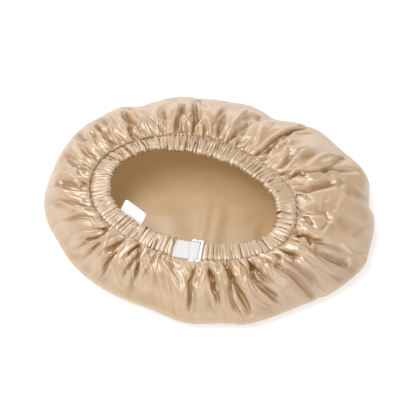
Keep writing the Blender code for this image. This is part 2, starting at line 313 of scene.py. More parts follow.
@dataclass(frozen=True)
class ElasticFinish:
    """White knitted elastic: fine ribs along the band and a fainter grid across it."""

    name: str = "white_woven_elastic"
    colour: Colour = Colour(0.66, 0.655, 0.65)
    shade: Colour = Colour(0.55, 0.545, 0.54)
    rib: float = 0.9 * MM

    def make(self) -> bpy.types.Material:
        """Builds the material."""
        s = Shading(self.name, Specular_IOR_Level=0.25, Sheen_Weight=0.2)
        across = (s.along("across") / self.rib * (2 * math.pi)).sine().ramp(-1.0, 1.0)
        along = (s.along("run") / (self.rib * 0.9) * (2 * math.pi)).sine().ramp(-1.0, 1.0)
        knit = across * 0.6 + along * 0.4
        fuzz = s.noise(s.place(), 1800.0, 2.0)
        s.feed("Base Color", s.blend(knit, self.shade, self.colour))
        s.feed("Roughness", fuzz.ramp(0.2, 0.8, 0.62, 0.8))
        s.bump(knit * 0.8 + fuzz * 0.2, 0.12 * MM, 0.7)
        return s.material


@dataclass(frozen=True)
class MouldedFinish:
    """White moulded plastic with a slight orange peel."""

    name: str = "white_moulded_plastic"
    colour: Colour = Colour(0.86, 0.85, 0.84)
    dusty: Colour = Colour(0.80, 0.78, 0.76)

    def make(self) -> bpy.types.Material:
        """Builds the material."""
        s = Shading(self.name, Specular_IOR_Level=0.5)
        where = s.place()
        peel = s.noise(where, 1200.0, 1.0)
        wear = s.noise(where, 160.0, 3.0)
        s.feed("Base Color", s.blend(wear.ramp(0.45, 0.75), self.colour, self.dusty))
        s.feed("Roughness", wear.ramp(0.3, 0.7, 0.22, 0.34))
        s.bump(peel, 0.02 * MM, 0.4)
        return s.material


@dataclass(frozen=True)
class RibbonFinish:
    """The label's white taffeta ribbon: a fine crosswise rib."""

    name: str = "white_taffeta_ribbon"
    colour: Colour = Colour(0.82, 0.80, 0.795)
    shade: Colour = Colour(0.72, 0.70, 0.695)
    rib: float = 0.5 * MM

    def make(self) -> bpy.types.Material:
        """Builds the material."""
        s = Shading(self.name, Specular_IOR_Level=0.4, Sheen_Weight=0.15)
        warp = (s.along("run") / self.rib * (2 * math.pi)).sine().ramp(-1.0, 1.0)
        weft = (s.along("across") / self.rib * (2 * math.pi)).sine().ramp(-1.0, 1.0)
        weave = warp * 0.7 + weft * 0.3
        fuzz = s.noise(s.place(), 1500.0, 2.0)
        s.feed("Base Color", s.blend(weave, self.shade, self.colour))
        s.feed("Roughness", fuzz.ramp(0.2, 0.8, 0.45, 0.6))
        s.bump(weave, 0.05 * MM, 0.6)
        return s.material


class Finish(Enum):
    """The bonnet's finishes."""

    SATIN = SatinFinish()
    ELASTIC = ElasticFinish()
    PLASTIC = MouldedFinish()
    RIBBON = RibbonFinish()

    def material(self) -> bpy.types.Material:
        """The finish's material, made once."""
        made = bpy.data.materials.get(self.value.name)
        return made or self.value.make()


# ----------------------------------------------------------------------------------------------------
# Curves that go round the opening


def smooth(t: np.ndarray | float) -> np.ndarray:
    """0 below 0, 1 above 1, and an easy turn between."""
    t = np.clip(t, 0.0, 1.0)
    return t * t * (3 - 2 * t)


def turn_from(start: np.ndarray | float, angle: np.ndarray | float) -> np.ndarray | float:
    """The turn from one angle to another, from -180 to 180 degrees."""
    return (angle - start + 180) % 360 - 180


def round_angles(count: int) -> np.ndarray:
    """Angles spread evenly once round, in degrees."""
    return np.arange(count) / count * 360


def travelled(lengths: np.ndarray) -> np.ndarray:
    """How far along a line its points lie, given the lengths between them."""
    return np.concatenate([[0.0], np.cumsum(lengths)])


def spans_down(points: np.ndarray) -> np.ndarray:
    """The distances from each row's points to the next row's."""
    return np.linalg.norm(np.diff(points, axis=0), axis=-1)


def spans_around(points: np.ndarray) -> np.ndarray:
    """The distances from each point to the next one in its row, which closes on itself."""
    return np.linalg.norm(np.roll(points, -1, 1) - points, axis=-1)


def spline(a: np.ndarray, b: np.ndarray, c: np.ndarray, d: np.ndarray, t: np.ndarray) -> np.ndarray:
    """A smooth curve's places from b to c, at shares t of the way, with a before them and d after."""
    return 0.5 * (
        2 * b + (c - a) * t + (2 * a - 5 * b + 4 * c - d) * t**2 + (3 * b - a - 3 * c + d) * t**3
    )


class RoundCurve:
    """A smooth curve through values given at angles that go once round."""

    def __init__(self, rows: Sequence[tuple[float, float]]) -> None:
        """Takes (angle in degrees, value) rows in order."""
        self.angles = np.array([row[0] for row in rows], float)
        self.values = np.array([row[1] for row in rows], float)

    def __call__(self, angle_deg: np.ndarray | float) -> np.ndarray:
        """The value at any angle."""
        angle = np.asarray(angle_deg, float) % 360
        count = len(self.angles)
        after = np.searchsorted(self.angles, angle, side="right") % count
        start = (after - 1) % count
        span = (self.angles[after] - self.angles[start]) % 360
        t = (angle - self.angles[start]) % 360 / span
        y0, y1 = self.values[start], self.values[after]
        slope0 = (y1 - self.values[(start - 1) % count]) / 2
        slope1 = (self.values[(after + 1) % count] - y0) / 2
        return (
            (2 * t**3 - 3 * t**2 + 1) * y0
            + (t**3 - 2 * t**2 + t) * slope0
            + (3 * t**2 - 2 * t**3) * y1
            + (t**3 - t**2) * slope1
        )


class FoldRow(NamedTuple):
    """A crest or a valley: its angle at the seam and at its end, its end's reach, its height and widths."""

    seam_deg: float
    end_deg: float
    reach: float
    height: float
    width: float
    end_width: float


class StationRow(NamedTuple):
    """A place on the crown's meridian.

    share is 0 at the seam and 1 at the outline, inset is how far the place then lies back in, height is
    a share of the puff's, facing is 90 upwards, fold is how much of the folds' depth is left, and near is
    the height on the side with the adjuster, where the cloth slopes more.
    """

    share: float
    inset: float
    height: float
    facing: float
    fold: float
    near: float


class RimRow(NamedTuple):
    """How far the crown's outline reaches from the opening's middle."""

    angle: float
    reach: float


class BandRow(NamedTuple):
    """Where the band lies: its seam's reach, and how steeply it rises to its free edge."""

    angle: float
    seam: float
    tilt: float


RIM = [
    RimRow(0, 196.5), RimRow(15, 202.0), RimRow(30, 195.0), RimRow(45, 181.5), RimRow(60, 171.0),
    RimRow(75, 173.5), RimRow(90, 174.0), RimRow(105, 173.0), RimRow(120, 180.5), RimRow(135, 180.0),
    RimRow(150, 172.0), RimRow(165, 167.5), RimRow(180, 159.5), RimRow(195, 146.5), RimRow(210, 136.0),
    RimRow(225, 127.5), RimRow(240, 123.0), RimRow(255, 125.0), RimRow(270, 131.5), RimRow(285, 138.0),
    RimRow(300, 148.0), RimRow(315, 159.0), RimRow(330, 179.0), RimRow(345, 195.5),
]

BAND = [
    BandRow(0, 112.0, 0), BandRow(30, 96.0, 0), BandRow(60, 91.0, -6), BandRow(90, 95.0, -6),
    BandRow(120, 105.0, 12), BandRow(150, 116.5, 14), BandRow(180, 109.0, 5), BandRow(210, 89.5, 6),
    BandRow(240, 80.0, 12), BandRow(270, 80.5, 16), BandRow(300, 93.5, -2), BandRow(330, 114.0, -6),
]

RIM_WIDTH, PUFF = 68, 57  # mm: a typical way from the seam to the outline, and the puff's height

STATIONS = [
    StationRow(0.00, 1.8, 0.835, 90, 0.00, 0.835), StationRow(0.00, 0.3, 0.845, 90, 0.05, 0.845),
    StationRow(0.03, 0.0, 0.868, 100, 0.35, 0.866),
    StationRow(0.08, 0.0, 0.90, 100, 0.80, 0.89), StationRow(0.16, 0.0, 0.935, 94, 1.00, 0.905),
    StationRow(0.30, 0.0, 0.97, 88, 1.00, 0.90), StationRow(0.52, 0.0, 0.95, 78, 0.95, 0.81),
    StationRow(0.77, 3.0, 0.84, 64, 0.80, 0.64), StationRow(1.00, 7.5, 0.66, 45, 0.60, 0.44),
    StationRow(1.00, 0.0, 0.36, 5, 0.35, 0.25), StationRow(1.00, 4.0, 0.13, -35, 0.12, 0.10),
    StationRow(1.00, 18.0, 0.00, -90, 0.00, 0.00),
]

FOLDS = [
    FoldRow(204, 204, 141, -4.0, 4, 8), FoldRow(209, 219, 131, 5.5, 6, 12),
    FoldRow(216.5, 222, 120, -4.5, 3, 6), FoldRow(222.5, 233, 115, 6.0, 6, 10),
    FoldRow(228, 236, 104, -5.0, 3, 6), FoldRow(233, 247, 108, 5.5, 6, 12),
    FoldRow(249, 268, 112, 2.5, 6, 12), FoldRow(256, 262, 120, -1.5, 8, 16),
    FoldRow(271.9, 269.3, 128, -1.5, 4, 6), FoldRow(277.6, 274.5, 112, 5.5, 6, 12),
    FoldRow(281.7, 281, 108, -4.0, 3, 6), FoldRow(287, 283.5, 124, 6.0, 6, 12),
    FoldRow(291.6, 292.8, 126, -5.0, 3, 6), FoldRow(297, 296.4, 138, 6.0, 6, 14),
    FoldRow(301, 309.5, 148, 3.5, 4, 10), FoldRow(304.7, 306, 129, -4.5, 3, 6),
    FoldRow(308, 315.5, 157, 5.5, 5, 14), FoldRow(316.3, 314.5, 139, 3.5, 4, 10),
    FoldRow(323, 324.2, 136, -5.0, 3, 8), FoldRow(327.3, 325, 168, 7.0, 8, 18),
    FoldRow(332, 334.6, 176, 4.5, 4, 12), FoldRow(335.5, 339.7, 168, -5.0, 3, 8),
    FoldRow(340.7, 339, 156, 4.0, 4, 12), FoldRow(354.8, 355.6, 132, 2.0, 6, 12),
    FoldRow(4.3, 8, 153, -2.0, 3, 9), FoldRow(17.3, 15.3, 182, -5.0, 4, 6),
    FoldRow(24.6, 30.4, 150, 2.5, 7, 18), FoldRow(40.1, 43, 176, -5.0, 4, 6),
    FoldRow(53, 53.6, 116, 2.0, 6, 10), FoldRow(59, 58, 160, -1.5, 3, 8),
    FoldRow(65, 69.7, 130, 3.2, 6, 14), FoldRow(72, 76, 135, -2.4, 4, 9), FoldRow(79, 83, 128, 4.8, 7, 13),
    FoldRow(89.2, 87.1, 174, -4.0, 4, 6), FoldRow(95, 91, 140, 2.8, 5, 10),
    FoldRow(100.6, 94, 136, -2.8, 3, 8), FoldRow(105, 99, 140, 3.2, 5, 12),
    FoldRow(111, 104, 142, -2.8, 4, 9), FoldRow(117, 113, 166, 2.4, 4, 14),
    FoldRow(122.5, 116.5, 132, 4.4, 6, 11), FoldRow(125, 121, 150, -2.4, 3, 8),
    FoldRow(129, 126, 170, 4.0, 5, 18), FoldRow(138, 129, 160, -3.2, 4, 10),
    FoldRow(147, 133, 180, 4.4, 5, 18), FoldRow(153, 142, 160, -3.2, 4, 10),
    FoldRow(159, 148, 166, 4.0, 5, 16), FoldRow(166, 156, 150, -2.8, 4, 10),
    FoldRow(174.4, 167.4, 134, 4.4, 6, 12), FoldRow(179, 171, 150, -2.8, 3, 9),
    FoldRow(184, 173, 148, 3.6, 5, 12), FoldRow(188, 178, 140, -2.4, 3, 8),
    FoldRow(193, 182, 142, 3.6, 5, 14), FoldRow(198.5, 193, 138, 2.4, 4, 10),
]

# By angle, mm by which the outline is moved out to meet the photograph's.
CONTOUR = [
    (0, 2.3), (5, -3.3), (10, -1.7), (15, 1.7), (20, 1.0), (25, -0.9), (30, 0.0), (35, 1.9), (40, 3.8),
    (45, 3.7), (50, -1.2), (55, -3.0), (60, 2.3), (65, 5.0), (70, 3.3), (75, 1.7), (80, 1.7), (85, 0.8),
    (90, 2.0), (95, 4.9), (100, 5.0), (105, 3.4), (110, -1.9), (115, -2.3), (120, 1.9), (125, 0.1),
    (130, 0.0), (135, 1.0), (140, 3.5), (145, 3.5), (150, 3.6), (155, 2.5), (160, 1.2), (165, 1.9),
    (170, 2.2), (175, 1.1), (180, 0.6), (185, -2.5), (190, -2.2), (195, -1.9), (200, -0.8), (205, 0.0),
    (215, 0.0), (230, 0.8), (240, 0.0), (245, -0.9), (250, -1.2), (255, -0.5), (260, 0.3), (265, 1.5),
    (270, 1.2), (275, 0.0), (280, -1.2), (285, -1.2), (290, 1.6), (295, 1.5), (300, 0.0), (305, -0.9),
    (310, -1.3), (315, -1.5), (320, -3.4), (325, -1.0), (330, -1.7), (335, -2.2), (340, 0.1), (345, -2.0),
    (350, -2.3), (355, 0.0),
]

# By angle, mm by which the crown hangs over the seam.
OVERLAP = [
    (0, 1.5), (30, 1.5), (60, 2.5), (90, 1.5), (120, 1.5), (150, 2.0), (180, 1.5), (200, 2.0), (213, 4.5),
    (232, 4.5), (246, 2.5), (256, 0.0), (272, 0.0), (280, 1.5), (300, 2.5), (318, 3.0), (340, 2.0),
]

# By angle, 1 where the crown lies in smooth panels and 0 where folds cross it.
CALM = [
    (0, 1.0), (55, 1.0), (72, 0.3), (100, 0.4), (150, 0.3), (190, 0.2), (210, 0.0), (325, 0.0), (342, 0.7),
]


class CreaseRow(NamedTuple):
    """A fold's crisp edge (above 0) or hollow (below 0), placed on the photograph.

    height and width, which is half a width, are in mm. path is its places: an angle, and how far along the
    meridian from the seam, in hundredths of its length. A path that ends where it starts is a loop.
    """

    height: float
    width: float
    path: list[tuple[float, float]]


CREASES = [CreaseRow(*row) for row in [
    (1.5, 1.4, [(204.7, 24.9), (206.7, 37.8), (204.0, 47.0), (202.0, 62.2)]),
    (-3.0, 3.5, [(210.3, 28.7), (210.7, 36.5), (209.0, 45.7)]),
    (1.8, 1.5, [(209.0, 12.9), (213.7, 26.2), (216.7, 35.2), (218.3, 45.7), (219.7, 55.3), (219.7, 65.0),
        (218.7, 67.9)]),
    (-3.6, 3.6, [(216.0, 9.6), (218.7, 22.5), (219.0, 33.9), (220.0, 44.4)]),
    (1.6, 1.4, [(220.0, 23.7), (224.0, 33.9), (224.7, 41.8), (227.3, 48.4), (230.0, 55.3), (232.7, 60.8),
        (235.7, 63.6)]),
    (1.7, 1.3, [(219.3, 9.6), (224.7, 16.4), (225.0, 12.9), (224.0, 1.5), (223.7, 6.4), (219.0, 3.3),
        (219.3, 9.6)]),
    (1.8, 1.5, [(226.7, 16.4), (228.7, 24.9), (231.7, 35.2), (234.3, 47.0)]),
    (1.3, 1.1, [(225.0, 7.4), (229.7, 17.6), (232.0, 30.0), (236.3, 41.8), (237.7, 51.1), (240.3, 53.9),
        (242.7, 49.8), (242.7, 41.8), (241.7, 35.2), (238.7, 27.5)]),
    (-4.2, 2.6, [(228.7, 4.3), (230.0, 8.5), (235.3, 23.7), (237.3, 31.3), (239.0, 44.4)]),
    (1.9, 1.3, [(229.7, 1.5), (232.3, 5.3), (238.0, 14.1), (243.3, 23.7), (247.3, 32.6), (248.7, 43.1),
        (249.3, 52.5)]),
    (-1.8, 1.6, [(238.0, 21.2), (242.7, 31.3), (245.7, 44.4)]),
    (1.0, 1.6, [(248.0, 20.0), (248.3, 27.5), (251.0, 35.2), (253.3, 41.8), (256.0, 48.4)]),
    (2.0, 2.0, [(249.0, 10.7), (251.3, 18.8), (255.3, 23.7), (259.7, 28.7), (263.7, 33.9)]),
    (-1.8, 2.6, [(251.0, 12.9), (257.0, 16.4), (263.7, 20.0)]),
    (0.9, 1.6, [(259.0, 45.7), (261.7, 56.6), (263.7, 65.0)]),
    (-4.2, 1.6, [(273.7, 8.5), (272.7, 15.3), (269.7, 30.0), (269.3, 41.8), (269.0, 51.1), (269.0, 60.8)]),
    (3.0, 1.2, [(274.0, 12.9), (273.0, 23.7), (270.0, 37.8), (271.0, 47.0), (270.0, 58.0), (269.3, 65.0)]),
    (1.0, 1.8, [(264.0, 15.3), (267.3, 22.5), (269.0, 28.7)]),
    (1.0, 1.8, [(266.0, 35.2), (267.0, 48.4), (266.7, 62.2)]),
    (1.5, 1.8, [(282.3, 10.7), (278.3, 21.2), (276.7, 27.5), (274.3, 35.2), (271.0, 40.4)]),
    (-1.5, 2.0, [(276.7, 17.6), (275.0, 23.7)]),
    (-4.5, 2.3, [(280.0, 17.6), (283.0, 24.9), (282.3, 32.6), (280.0, 40.4)]),
    (-1.8, 2.6, [(284.3, 30.0), (283.3, 40.4), (282.3, 51.1)]),
    (1.6, 1.2, [(284.0, 15.3), (284.3, 22.5), (285.3, 23.7), (287.0, 22.5), (288.0, 16.4), (287.0, 10.7),
        (284.0, 15.3)]),
    (1.9, 1.5, [(285.3, 23.7), (285.3, 32.6), (285.7, 39.1), (285.7, 47.0), (285.0, 53.9), (282.3, 60.8)]),
    (1.4, 1.3, [(286.7, 33.9), (287.0, 45.7), (287.7, 55.3), (288.0, 59.4)]),
    (0.9, 1.3, [(283.0, 39.1), (280.3, 48.4), (280.7, 56.6)]),
    (-5.0, 2.2, [(294.0, 4.3), (292.7, 17.6), (290.0, 28.7), (288.7, 37.8), (289.3, 44.4)]),
    (-2.6, 3.6, [(293.3, 37.8), (294.3, 47.0), (294.7, 56.6), (294.7, 66.5)]),
    (2.0, 1.2, [(289.3, 41.8), (290.0, 48.4), (291.3, 56.6), (292.7, 63.6), (293.3, 69.3)]),
    (-1.3, 1.2, [(288.7, 41.8), (289.7, 52.5), (291.0, 59.4)]),
    (1.7, 1.3, [(294.3, 10.7), (291.3, 18.8), (293.7, 23.7), (294.7, 26.2), (295.7, 23.7), (297.3, 16.4),
        (297.7, 8.5), (294.3, 10.7)]),
    (1.4, 1.3, [(301.0, 14.1), (298.0, 22.5), (296.3, 26.2), (295.3, 28.7)]),
    (1.8, 1.4, [(301.3, 17.6), (298.0, 27.5), (297.0, 33.9), (297.3, 41.8), (299.0, 49.8), (301.3, 56.6),
        (304.0, 65.0)]),
    (1.2, 1.1, [(302.0, 21.2), (298.7, 31.3), (299.0, 40.4), (300.3, 45.7)]),
    (-4.6, 2.2, [(307.0, 9.6), (302.7, 22.5), (302.3, 28.7), (302.7, 33.9)]),
    (-3.2, 4.8, [(303.0, 32.6), (305.3, 40.4), (306.7, 49.8), (308.3, 58.0)]),
    (1.7, 1.2, [(301.7, 26.2), (300.7, 33.9), (301.7, 43.1), (304.0, 51.1), (305.7, 59.4), (308.0, 65.0),
        (309.3, 69.3)]),
    (1.7, 1.3, [(307.7, 12.9), (307.0, 17.6), (304.0, 24.9), (306.7, 27.5), (307.7, 27.5), (308.3, 22.5),
        (309.3, 12.9), (307.7, 12.9)]),
    (2.1, 1.9, [(310.0, 12.9), (312.3, 14.1), (309.3, 31.3), (309.7, 40.4), (311.7, 47.0), (313.3, 53.9)]),
    (-3.2, 2.2, [(319.0, 12.9), (315.7, 22.5), (314.3, 27.5)]),
    (1.6, 1.3, [(315.3, 16.4), (311.7, 26.2), (311.7, 32.6), (312.3, 36.5)]),
    (1.3, 1.8, [(320.7, 15.3), (317.3, 26.2), (316.0, 33.9)]),
    (-3.4, 3.0, [(324.7, 8.5), (324.7, 15.3), (322.7, 23.7), (322.0, 31.3)]),
    (1.8, 1.4, [(325.7, 8.5), (325.0, 14.1), (325.0, 18.8), (325.7, 21.2), (328.7, 17.6), (329.0, 11.8),
        (325.7, 8.5)]),
    (1.4, 1.5, [(325.3, 23.7), (324.7, 32.6), (324.7, 40.4), (325.0, 48.4), (325.7, 58.0), (325.7, 63.6)]),
    (-1.6, 2.0, [(323.3, 33.9), (323.7, 44.4), (324.7, 55.3)]),
    (1.4, 1.4, [(328.0, 55.3), (327.0, 62.2), (325.0, 67.9), (323.0, 66.5)]),
    (2.2, 2.4, [(332.7, 3.3), (331.3, 12.9), (329.3, 21.2), (327.7, 31.3), (328.0, 39.1), (329.7, 47.0),
        (331.3, 55.3)]),
    (2.0, 1.2, [(336.7, 10.7), (336.7, 17.6), (331.7, 27.5), (331.0, 35.2), (331.7, 41.8), (332.7, 47.0),
        (333.7, 52.5), (334.7, 58.0)]),
    (-4.8, 2.2, [(339.3, 3.3), (333.7, 9.6), (336.7, 10.7), (336.7, 16.4), (332.3, 24.9)]),
    (-5.0, 6.0, [(332.0, 24.9), (333.0, 32.6), (334.0, 41.8), (335.7, 49.8), (338.3, 56.6)]),
    (1.6, 1.3, [(344.0, 5.3), (339.3, 7.4), (333.7, 16.4), (337.7, 21.2), (338.7, 24.9), (341.3, 26.2),
        (347.3, 26.2)]),
    (1.0, 1.0, [(343.3, 9.6), (339.3, 12.9), (338.3, 17.6), (339.3, 21.2)]),
    (1.6, 2.0, [(347.3, 36.5), (344.3, 39.1), (341.7, 43.1), (341.0, 51.1), (342.0, 58.0), (343.3, 63.6),
        (343.7, 73.6), (340.7, 70.7), (338.3, 65.0)]),
    (-1.0, 1.2, [(356.3, 66.5), (353.7, 56.6), (350.0, 51.1), (346.7, 47.0)]),
    (-0.9, 1.0, [(319.7, 59.4), (322.0, 56.6), (323.0, 51.1)]),
    (-4.2, 1.8, [(16.3, 3.3), (15.7, 6.4), (18.0, 12.9), (14.3, 15.3)]),
    (-1.8, 1.6, [(14.3, 15.3), (12.7, 20.0), (12.0, 24.9), (13.0, 30.0)]),
    (1.8, 1.6, [(14.7, 3.3), (17.0, 10.7), (17.0, 16.4), (11.7, 18.8), (11.3, 24.9), (15.7, 35.2),
        (13.0, 39.1)]),
    (-2.2, 1.5, [(11.0, 3.3), (10.7, 8.5), (10.3, 14.1)]),
    (2.2, 1.7, [(6.7, 1.5), (9.0, 6.4), (9.0, 10.7), (10.0, 16.4), (10.7, 22.5), (11.0, 27.5), (12.0, 33.9),
        (12.0, 39.1), (10.7, 41.8), (8.0, 41.8)]),
    (2.2, 3.2, [(8.7, 41.8), (5.3, 39.1), (1.0, 36.5), (357.7, 33.9), (354.0, 32.6), (350.3, 30.0),
        (346.0, 30.0)]),
    (-4.4, 6.5, [(6.7, 7.4), (8.0, 16.4), (9.0, 24.9), (10.3, 35.2)]),
    (-3.0, 2.0, [(3.3, 1.5), (4.0, 3.3), (3.0, 8.5), (359.0, 11.8)]),
    (1.7, 1.4, [(2.0, 2.4), (1.3, 7.4), (358.0, 10.7), (354.7, 11.8), (353.0, 8.5), (352.7, 3.3),
        (356.7, 1.5), (2.0, 2.4)]),
    (-1.6, 2.0, [(356.3, 5.3), (356.0, 7.4)]),
    (0.9, 1.6, [(0.7, 21.2), (356.0, 20.0), (352.3, 20.0)]),
    (-1.4, 1.6, [(0.3, 24.9), (358.3, 21.2)]),
    (-1.6, 1.5, [(353.0, 22.5), (350.3, 24.9), (348.7, 27.5)]),
    (1.0, 1.2, [(354.0, 30.0), (350.3, 26.2)]),
    (-4.0, 1.7, [(349.3, 2.4), (347.7, 5.3), (347.7, 9.6), (344.0, 14.1)]),
    (-2.2, 2.4, [(344.0, 14.1), (341.3, 20.0), (345.0, 23.7), (348.7, 26.2)]),
    (1.5, 1.4, [(349.7, 6.4), (349.0, 11.8), (349.0, 20.0), (349.3, 24.9)]),
    (0.8, 1.5, [(10.3, 47.0), (7.7, 53.9), (6.0, 62.2)]),
    (-5.0, 1.4, [(43.0, 1.5), (42.7, 7.4), (42.3, 15.3), (42.7, 23.7), (42.7, 30.0), (42.3, 39.1)]),
    (-3.2, 2.6, [(42.7, 36.5), (42.0, 43.1), (41.0, 49.8)]),
    (1.6, 2.0, [(44.3, 6.4), (44.0, 12.9), (44.3, 22.5), (44.0, 31.3), (43.7, 39.1), (42.7, 47.0),
        (41.0, 53.9)]),
    (1.6, 1.5, [(42.0, 36.5), (38.7, 39.1), (37.3, 47.0)]),
    (-3.2, 1.6, [(37.0, 2.4), (36.3, 6.4), (40.7, 16.4), (37.3, 16.4)]),
    (1.8, 1.3, [(39.3, 3.3), (38.0, 8.5), (38.3, 15.3), (40.7, 24.9), (42.3, 30.0), (37.0, 28.7),
        (35.7, 26.2), (35.7, 21.2), (35.7, 15.3), (36.0, 10.7), (39.3, 3.3)]),
    (-2.0, 2.0, [(36.3, 16.4), (36.7, 21.2), (37.0, 26.2)]),
    (1.7, 1.7, [(26.0, 3.3), (27.0, 9.6), (31.3, 16.4), (34.7, 22.5), (30.3, 23.7), (31.3, 30.0)]),
    (-4.0, 3.8, [(24.7, 6.4), (26.3, 11.8), (28.7, 17.6), (28.3, 20.0)]),
    (1.7, 1.5, [(22.7, 9.6), (24.3, 14.1), (25.3, 20.0), (27.0, 24.9), (28.7, 27.5)]),
    (-1.5, 1.0, [(25.7, 22.5), (27.7, 26.2)]),
    (1.6, 1.6, [(22.0, 3.3), (21.3, 9.6), (20.3, 14.1), (18.7, 17.6), (17.7, 17.6)]),
    (-2.8, 2.2, [(23.7, 1.5), (21.3, 4.3), (19.3, 9.6)]),
    (2.0, 3.0, [(18.7, 18.8), (19.3, 23.7), (22.0, 30.0), (24.0, 39.1), (24.3, 47.0)]),
    (-3.4, 3.6, [(13.3, 26.2), (17.0, 33.9), (18.7, 40.4), (22.7, 51.1)]),
    (2.0, 3.0, [(48.3, 7.4), (47.7, 12.9), (50.7, 22.5), (54.3, 40.4)]),
    (-1.2, 1.2, [(48.7, 28.7), (51.3, 41.8), (51.3, 47.0)]),
    (-3.0, 6.0, [(64.7, 27.5), (61.7, 37.8), (57.3, 43.1)]),
    (2.2, 2.4, [(95.3, 43.1), (97.7, 31.3), (99.3, 22.5), (102.0, 10.7), (104.3, 2.4)]),
    (-3.0, 2.2, [(94.3, 36.5), (95.3, 28.7), (98.0, 18.8), (101.0, 8.5), (102.0, 1.5)]),
    (1.7, 1.3, [(91.0, 23.7), (92.7, 17.6), (94.7, 12.9), (96.3, 6.4), (96.0, 1.5)]),
    (-2.0, 1.5, [(97.0, 14.1), (97.3, 8.5), (100.0, 4.3)]),
    (-2.4, 4.0, [(88.3, 52.5), (90.0, 30.0), (91.3, 18.8)]),
    (-2.0, 1.6, [(92.7, 10.7), (94.0, 5.3), (94.0, 2.4)]),
    (-4.2, 1.4, [(85.7, 16.4), (89.0, 16.4), (90.3, 7.4), (90.3, 1.5)]),
    (-1.6, 1.2, [(86.7, 53.9), (87.0, 43.1), (85.7, 23.7), (86.0, 17.6)]),
    (1.0, 1.6, [(86.0, 49.8), (85.0, 30.0), (84.0, 22.5)]),
    (1.9, 1.7, [(88.7, 11.8), (86.3, 14.1), (84.3, 17.6), (81.0, 16.4), (79.3, 11.8), (78.7, 6.4),
        (79.3, 1.5), (87.0, 1.5), (88.7, 11.8)]),
    (-2.6, 2.6, [(82.3, 12.9), (81.3, 5.3)]),
    (-1.4, 1.6, [(84.0, 37.8), (83.7, 30.0)]),
    (1.5, 2.0, [(76.0, 2.4), (78.0, 8.5), (75.7, 15.3)]),
    (-1.6, 3.5, [(74.7, 16.4), (73.7, 7.4)]),
    (2.4, 3.2, [(71.0, 1.5), (69.3, 7.4), (66.3, 12.9), (66.3, 21.2), (66.3, 32.6), (66.0, 44.4)]),
    (-4.4, 1.9, [(68.3, 1.5), (66.0, 1.5), (64.7, 7.4), (62.3, 14.1)]),
    (-2.4, 2.6, [(64.0, 12.9), (61.3, 20.0), (59.7, 28.7)]),
    (1.6, 1.2, [(63.7, 4.3), (60.3, 10.7), (56.3, 15.3), (54.3, 14.1)]),
    (-2.4, 1.9, [(60.3, 1.5), (58.7, 7.4), (54.7, 11.8)]),
    (1.6, 1.3, [(56.7, 1.5), (54.7, 5.3), (52.0, 10.7)]),
    (1.4, 2.6, [(108.3, 36.5), (109.3, 20.0), (112.3, 3.3)]),
    (-1.6, 2.4, [(104.7, 31.3), (106.3, 12.9), (107.0, 3.3)]),
    (1.1, 1.0, [(106.0, 3.3), (105.0, 3.3), (103.7, 2.4), (103.3, 1.5), (106.7, 1.5), (106.0, 3.3)]),
    (1.8, 1.2, [(117.0, 49.8), (117.7, 33.9), (117.7, 23.7), (118.0, 20.0), (121.3, 15.3), (125.3, 11.8)]),
    (1.9, 1.4, [(125.3, 10.7), (123.3, 8.5), (123.3, 4.3), (120.0, 2.4), (116.7, 5.3), (116.3, 9.6),
        (116.7, 14.1), (118.0, 17.6), (121.7, 15.3), (125.3, 10.7)]),
    (1.0, 1.0, [(118.3, 14.1), (117.3, 10.7), (119.0, 6.4), (120.7, 4.3)]),
    (-1.6, 2.2, [(121.3, 10.7), (121.7, 7.4)]),
    (1.4, 1.1, [(116.3, 17.6), (115.7, 10.7), (115.3, 5.3), (116.7, 1.5)]),
    (-4.4, 1.7, [(127.0, 1.5), (126.7, 4.3), (127.7, 7.4), (126.3, 11.8), (124.0, 18.8)]),
    (-2.6, 3.4, [(121.0, 40.4), (123.3, 26.2), (124.0, 18.8)]),
    (1.7, 1.3, [(130.0, 18.8), (129.3, 11.8), (128.7, 7.4), (128.0, 2.4)]),
    (2.2, 2.4, [(129.0, 48.4), (129.7, 35.2), (131.3, 28.7), (134.3, 17.6), (135.7, 9.6), (137.3, 1.5)]),
    (-3.0, 2.2, [(134.3, 44.4), (136.3, 31.3), (136.7, 22.5), (139.0, 11.8), (140.0, 3.3)]),
    (1.5, 1.4, [(135.7, 44.4), (137.3, 36.5), (139.0, 27.5), (140.0, 18.8), (140.3, 9.6)]),
    (-2.8, 2.6, [(139.7, 33.9), (141.7, 24.9), (144.7, 16.4), (144.7, 7.4)]),
    (1.8, 1.4, [(138.7, 41.8), (141.3, 35.2), (143.3, 30.0), (145.7, 18.8), (146.3, 11.8), (149.3, 4.3)]),
    (1.2, 1.8, [(127.3, 40.4), (128.3, 28.7), (129.0, 20.0)]),
    (-1.4, 2.0, [(124.7, 39.1), (127.3, 23.7)]),
    (-4.4, 2.0, [(158.3, 17.6), (159.0, 11.8), (159.7, 5.3), (160.0, 1.5)]),
    (1.9, 1.4, [(158.7, 21.2), (159.7, 15.3), (160.3, 7.4), (162.7, 1.5)]),
    (1.5, 1.2, [(159.3, 22.5), (164.3, 20.0), (167.3, 14.1), (167.0, 8.5)]),
    (-2.0, 2.4, [(160.3, 16.4), (164.0, 8.5)]),
    (1.7, 1.5, [(164.7, 49.8), (166.0, 33.9), (168.7, 21.2), (168.7, 11.8), (166.3, 3.3), (167.3, 1.5)]),
    (-3.8, 4.4, [(169.3, 41.8), (171.0, 24.9), (172.7, 14.1), (168.7, 3.3)]),
    (1.0, 1.5, [(172.0, 48.4), (175.3, 36.5), (175.7, 26.2), (175.7, 20.0)]),
    (1.7, 1.2, [(175.0, 11.8), (171.7, 9.6), (169.7, 3.3), (171.3, 1.5), (174.7, 1.5), (177.3, 6.4),
        (175.0, 11.8)]),
    (1.2, 1.1, [(180.3, 11.8), (178.3, 4.3), (175.7, 1.5)]),
    (-2.8, 2.4, [(182.3, 12.9), (183.0, 9.6)]),
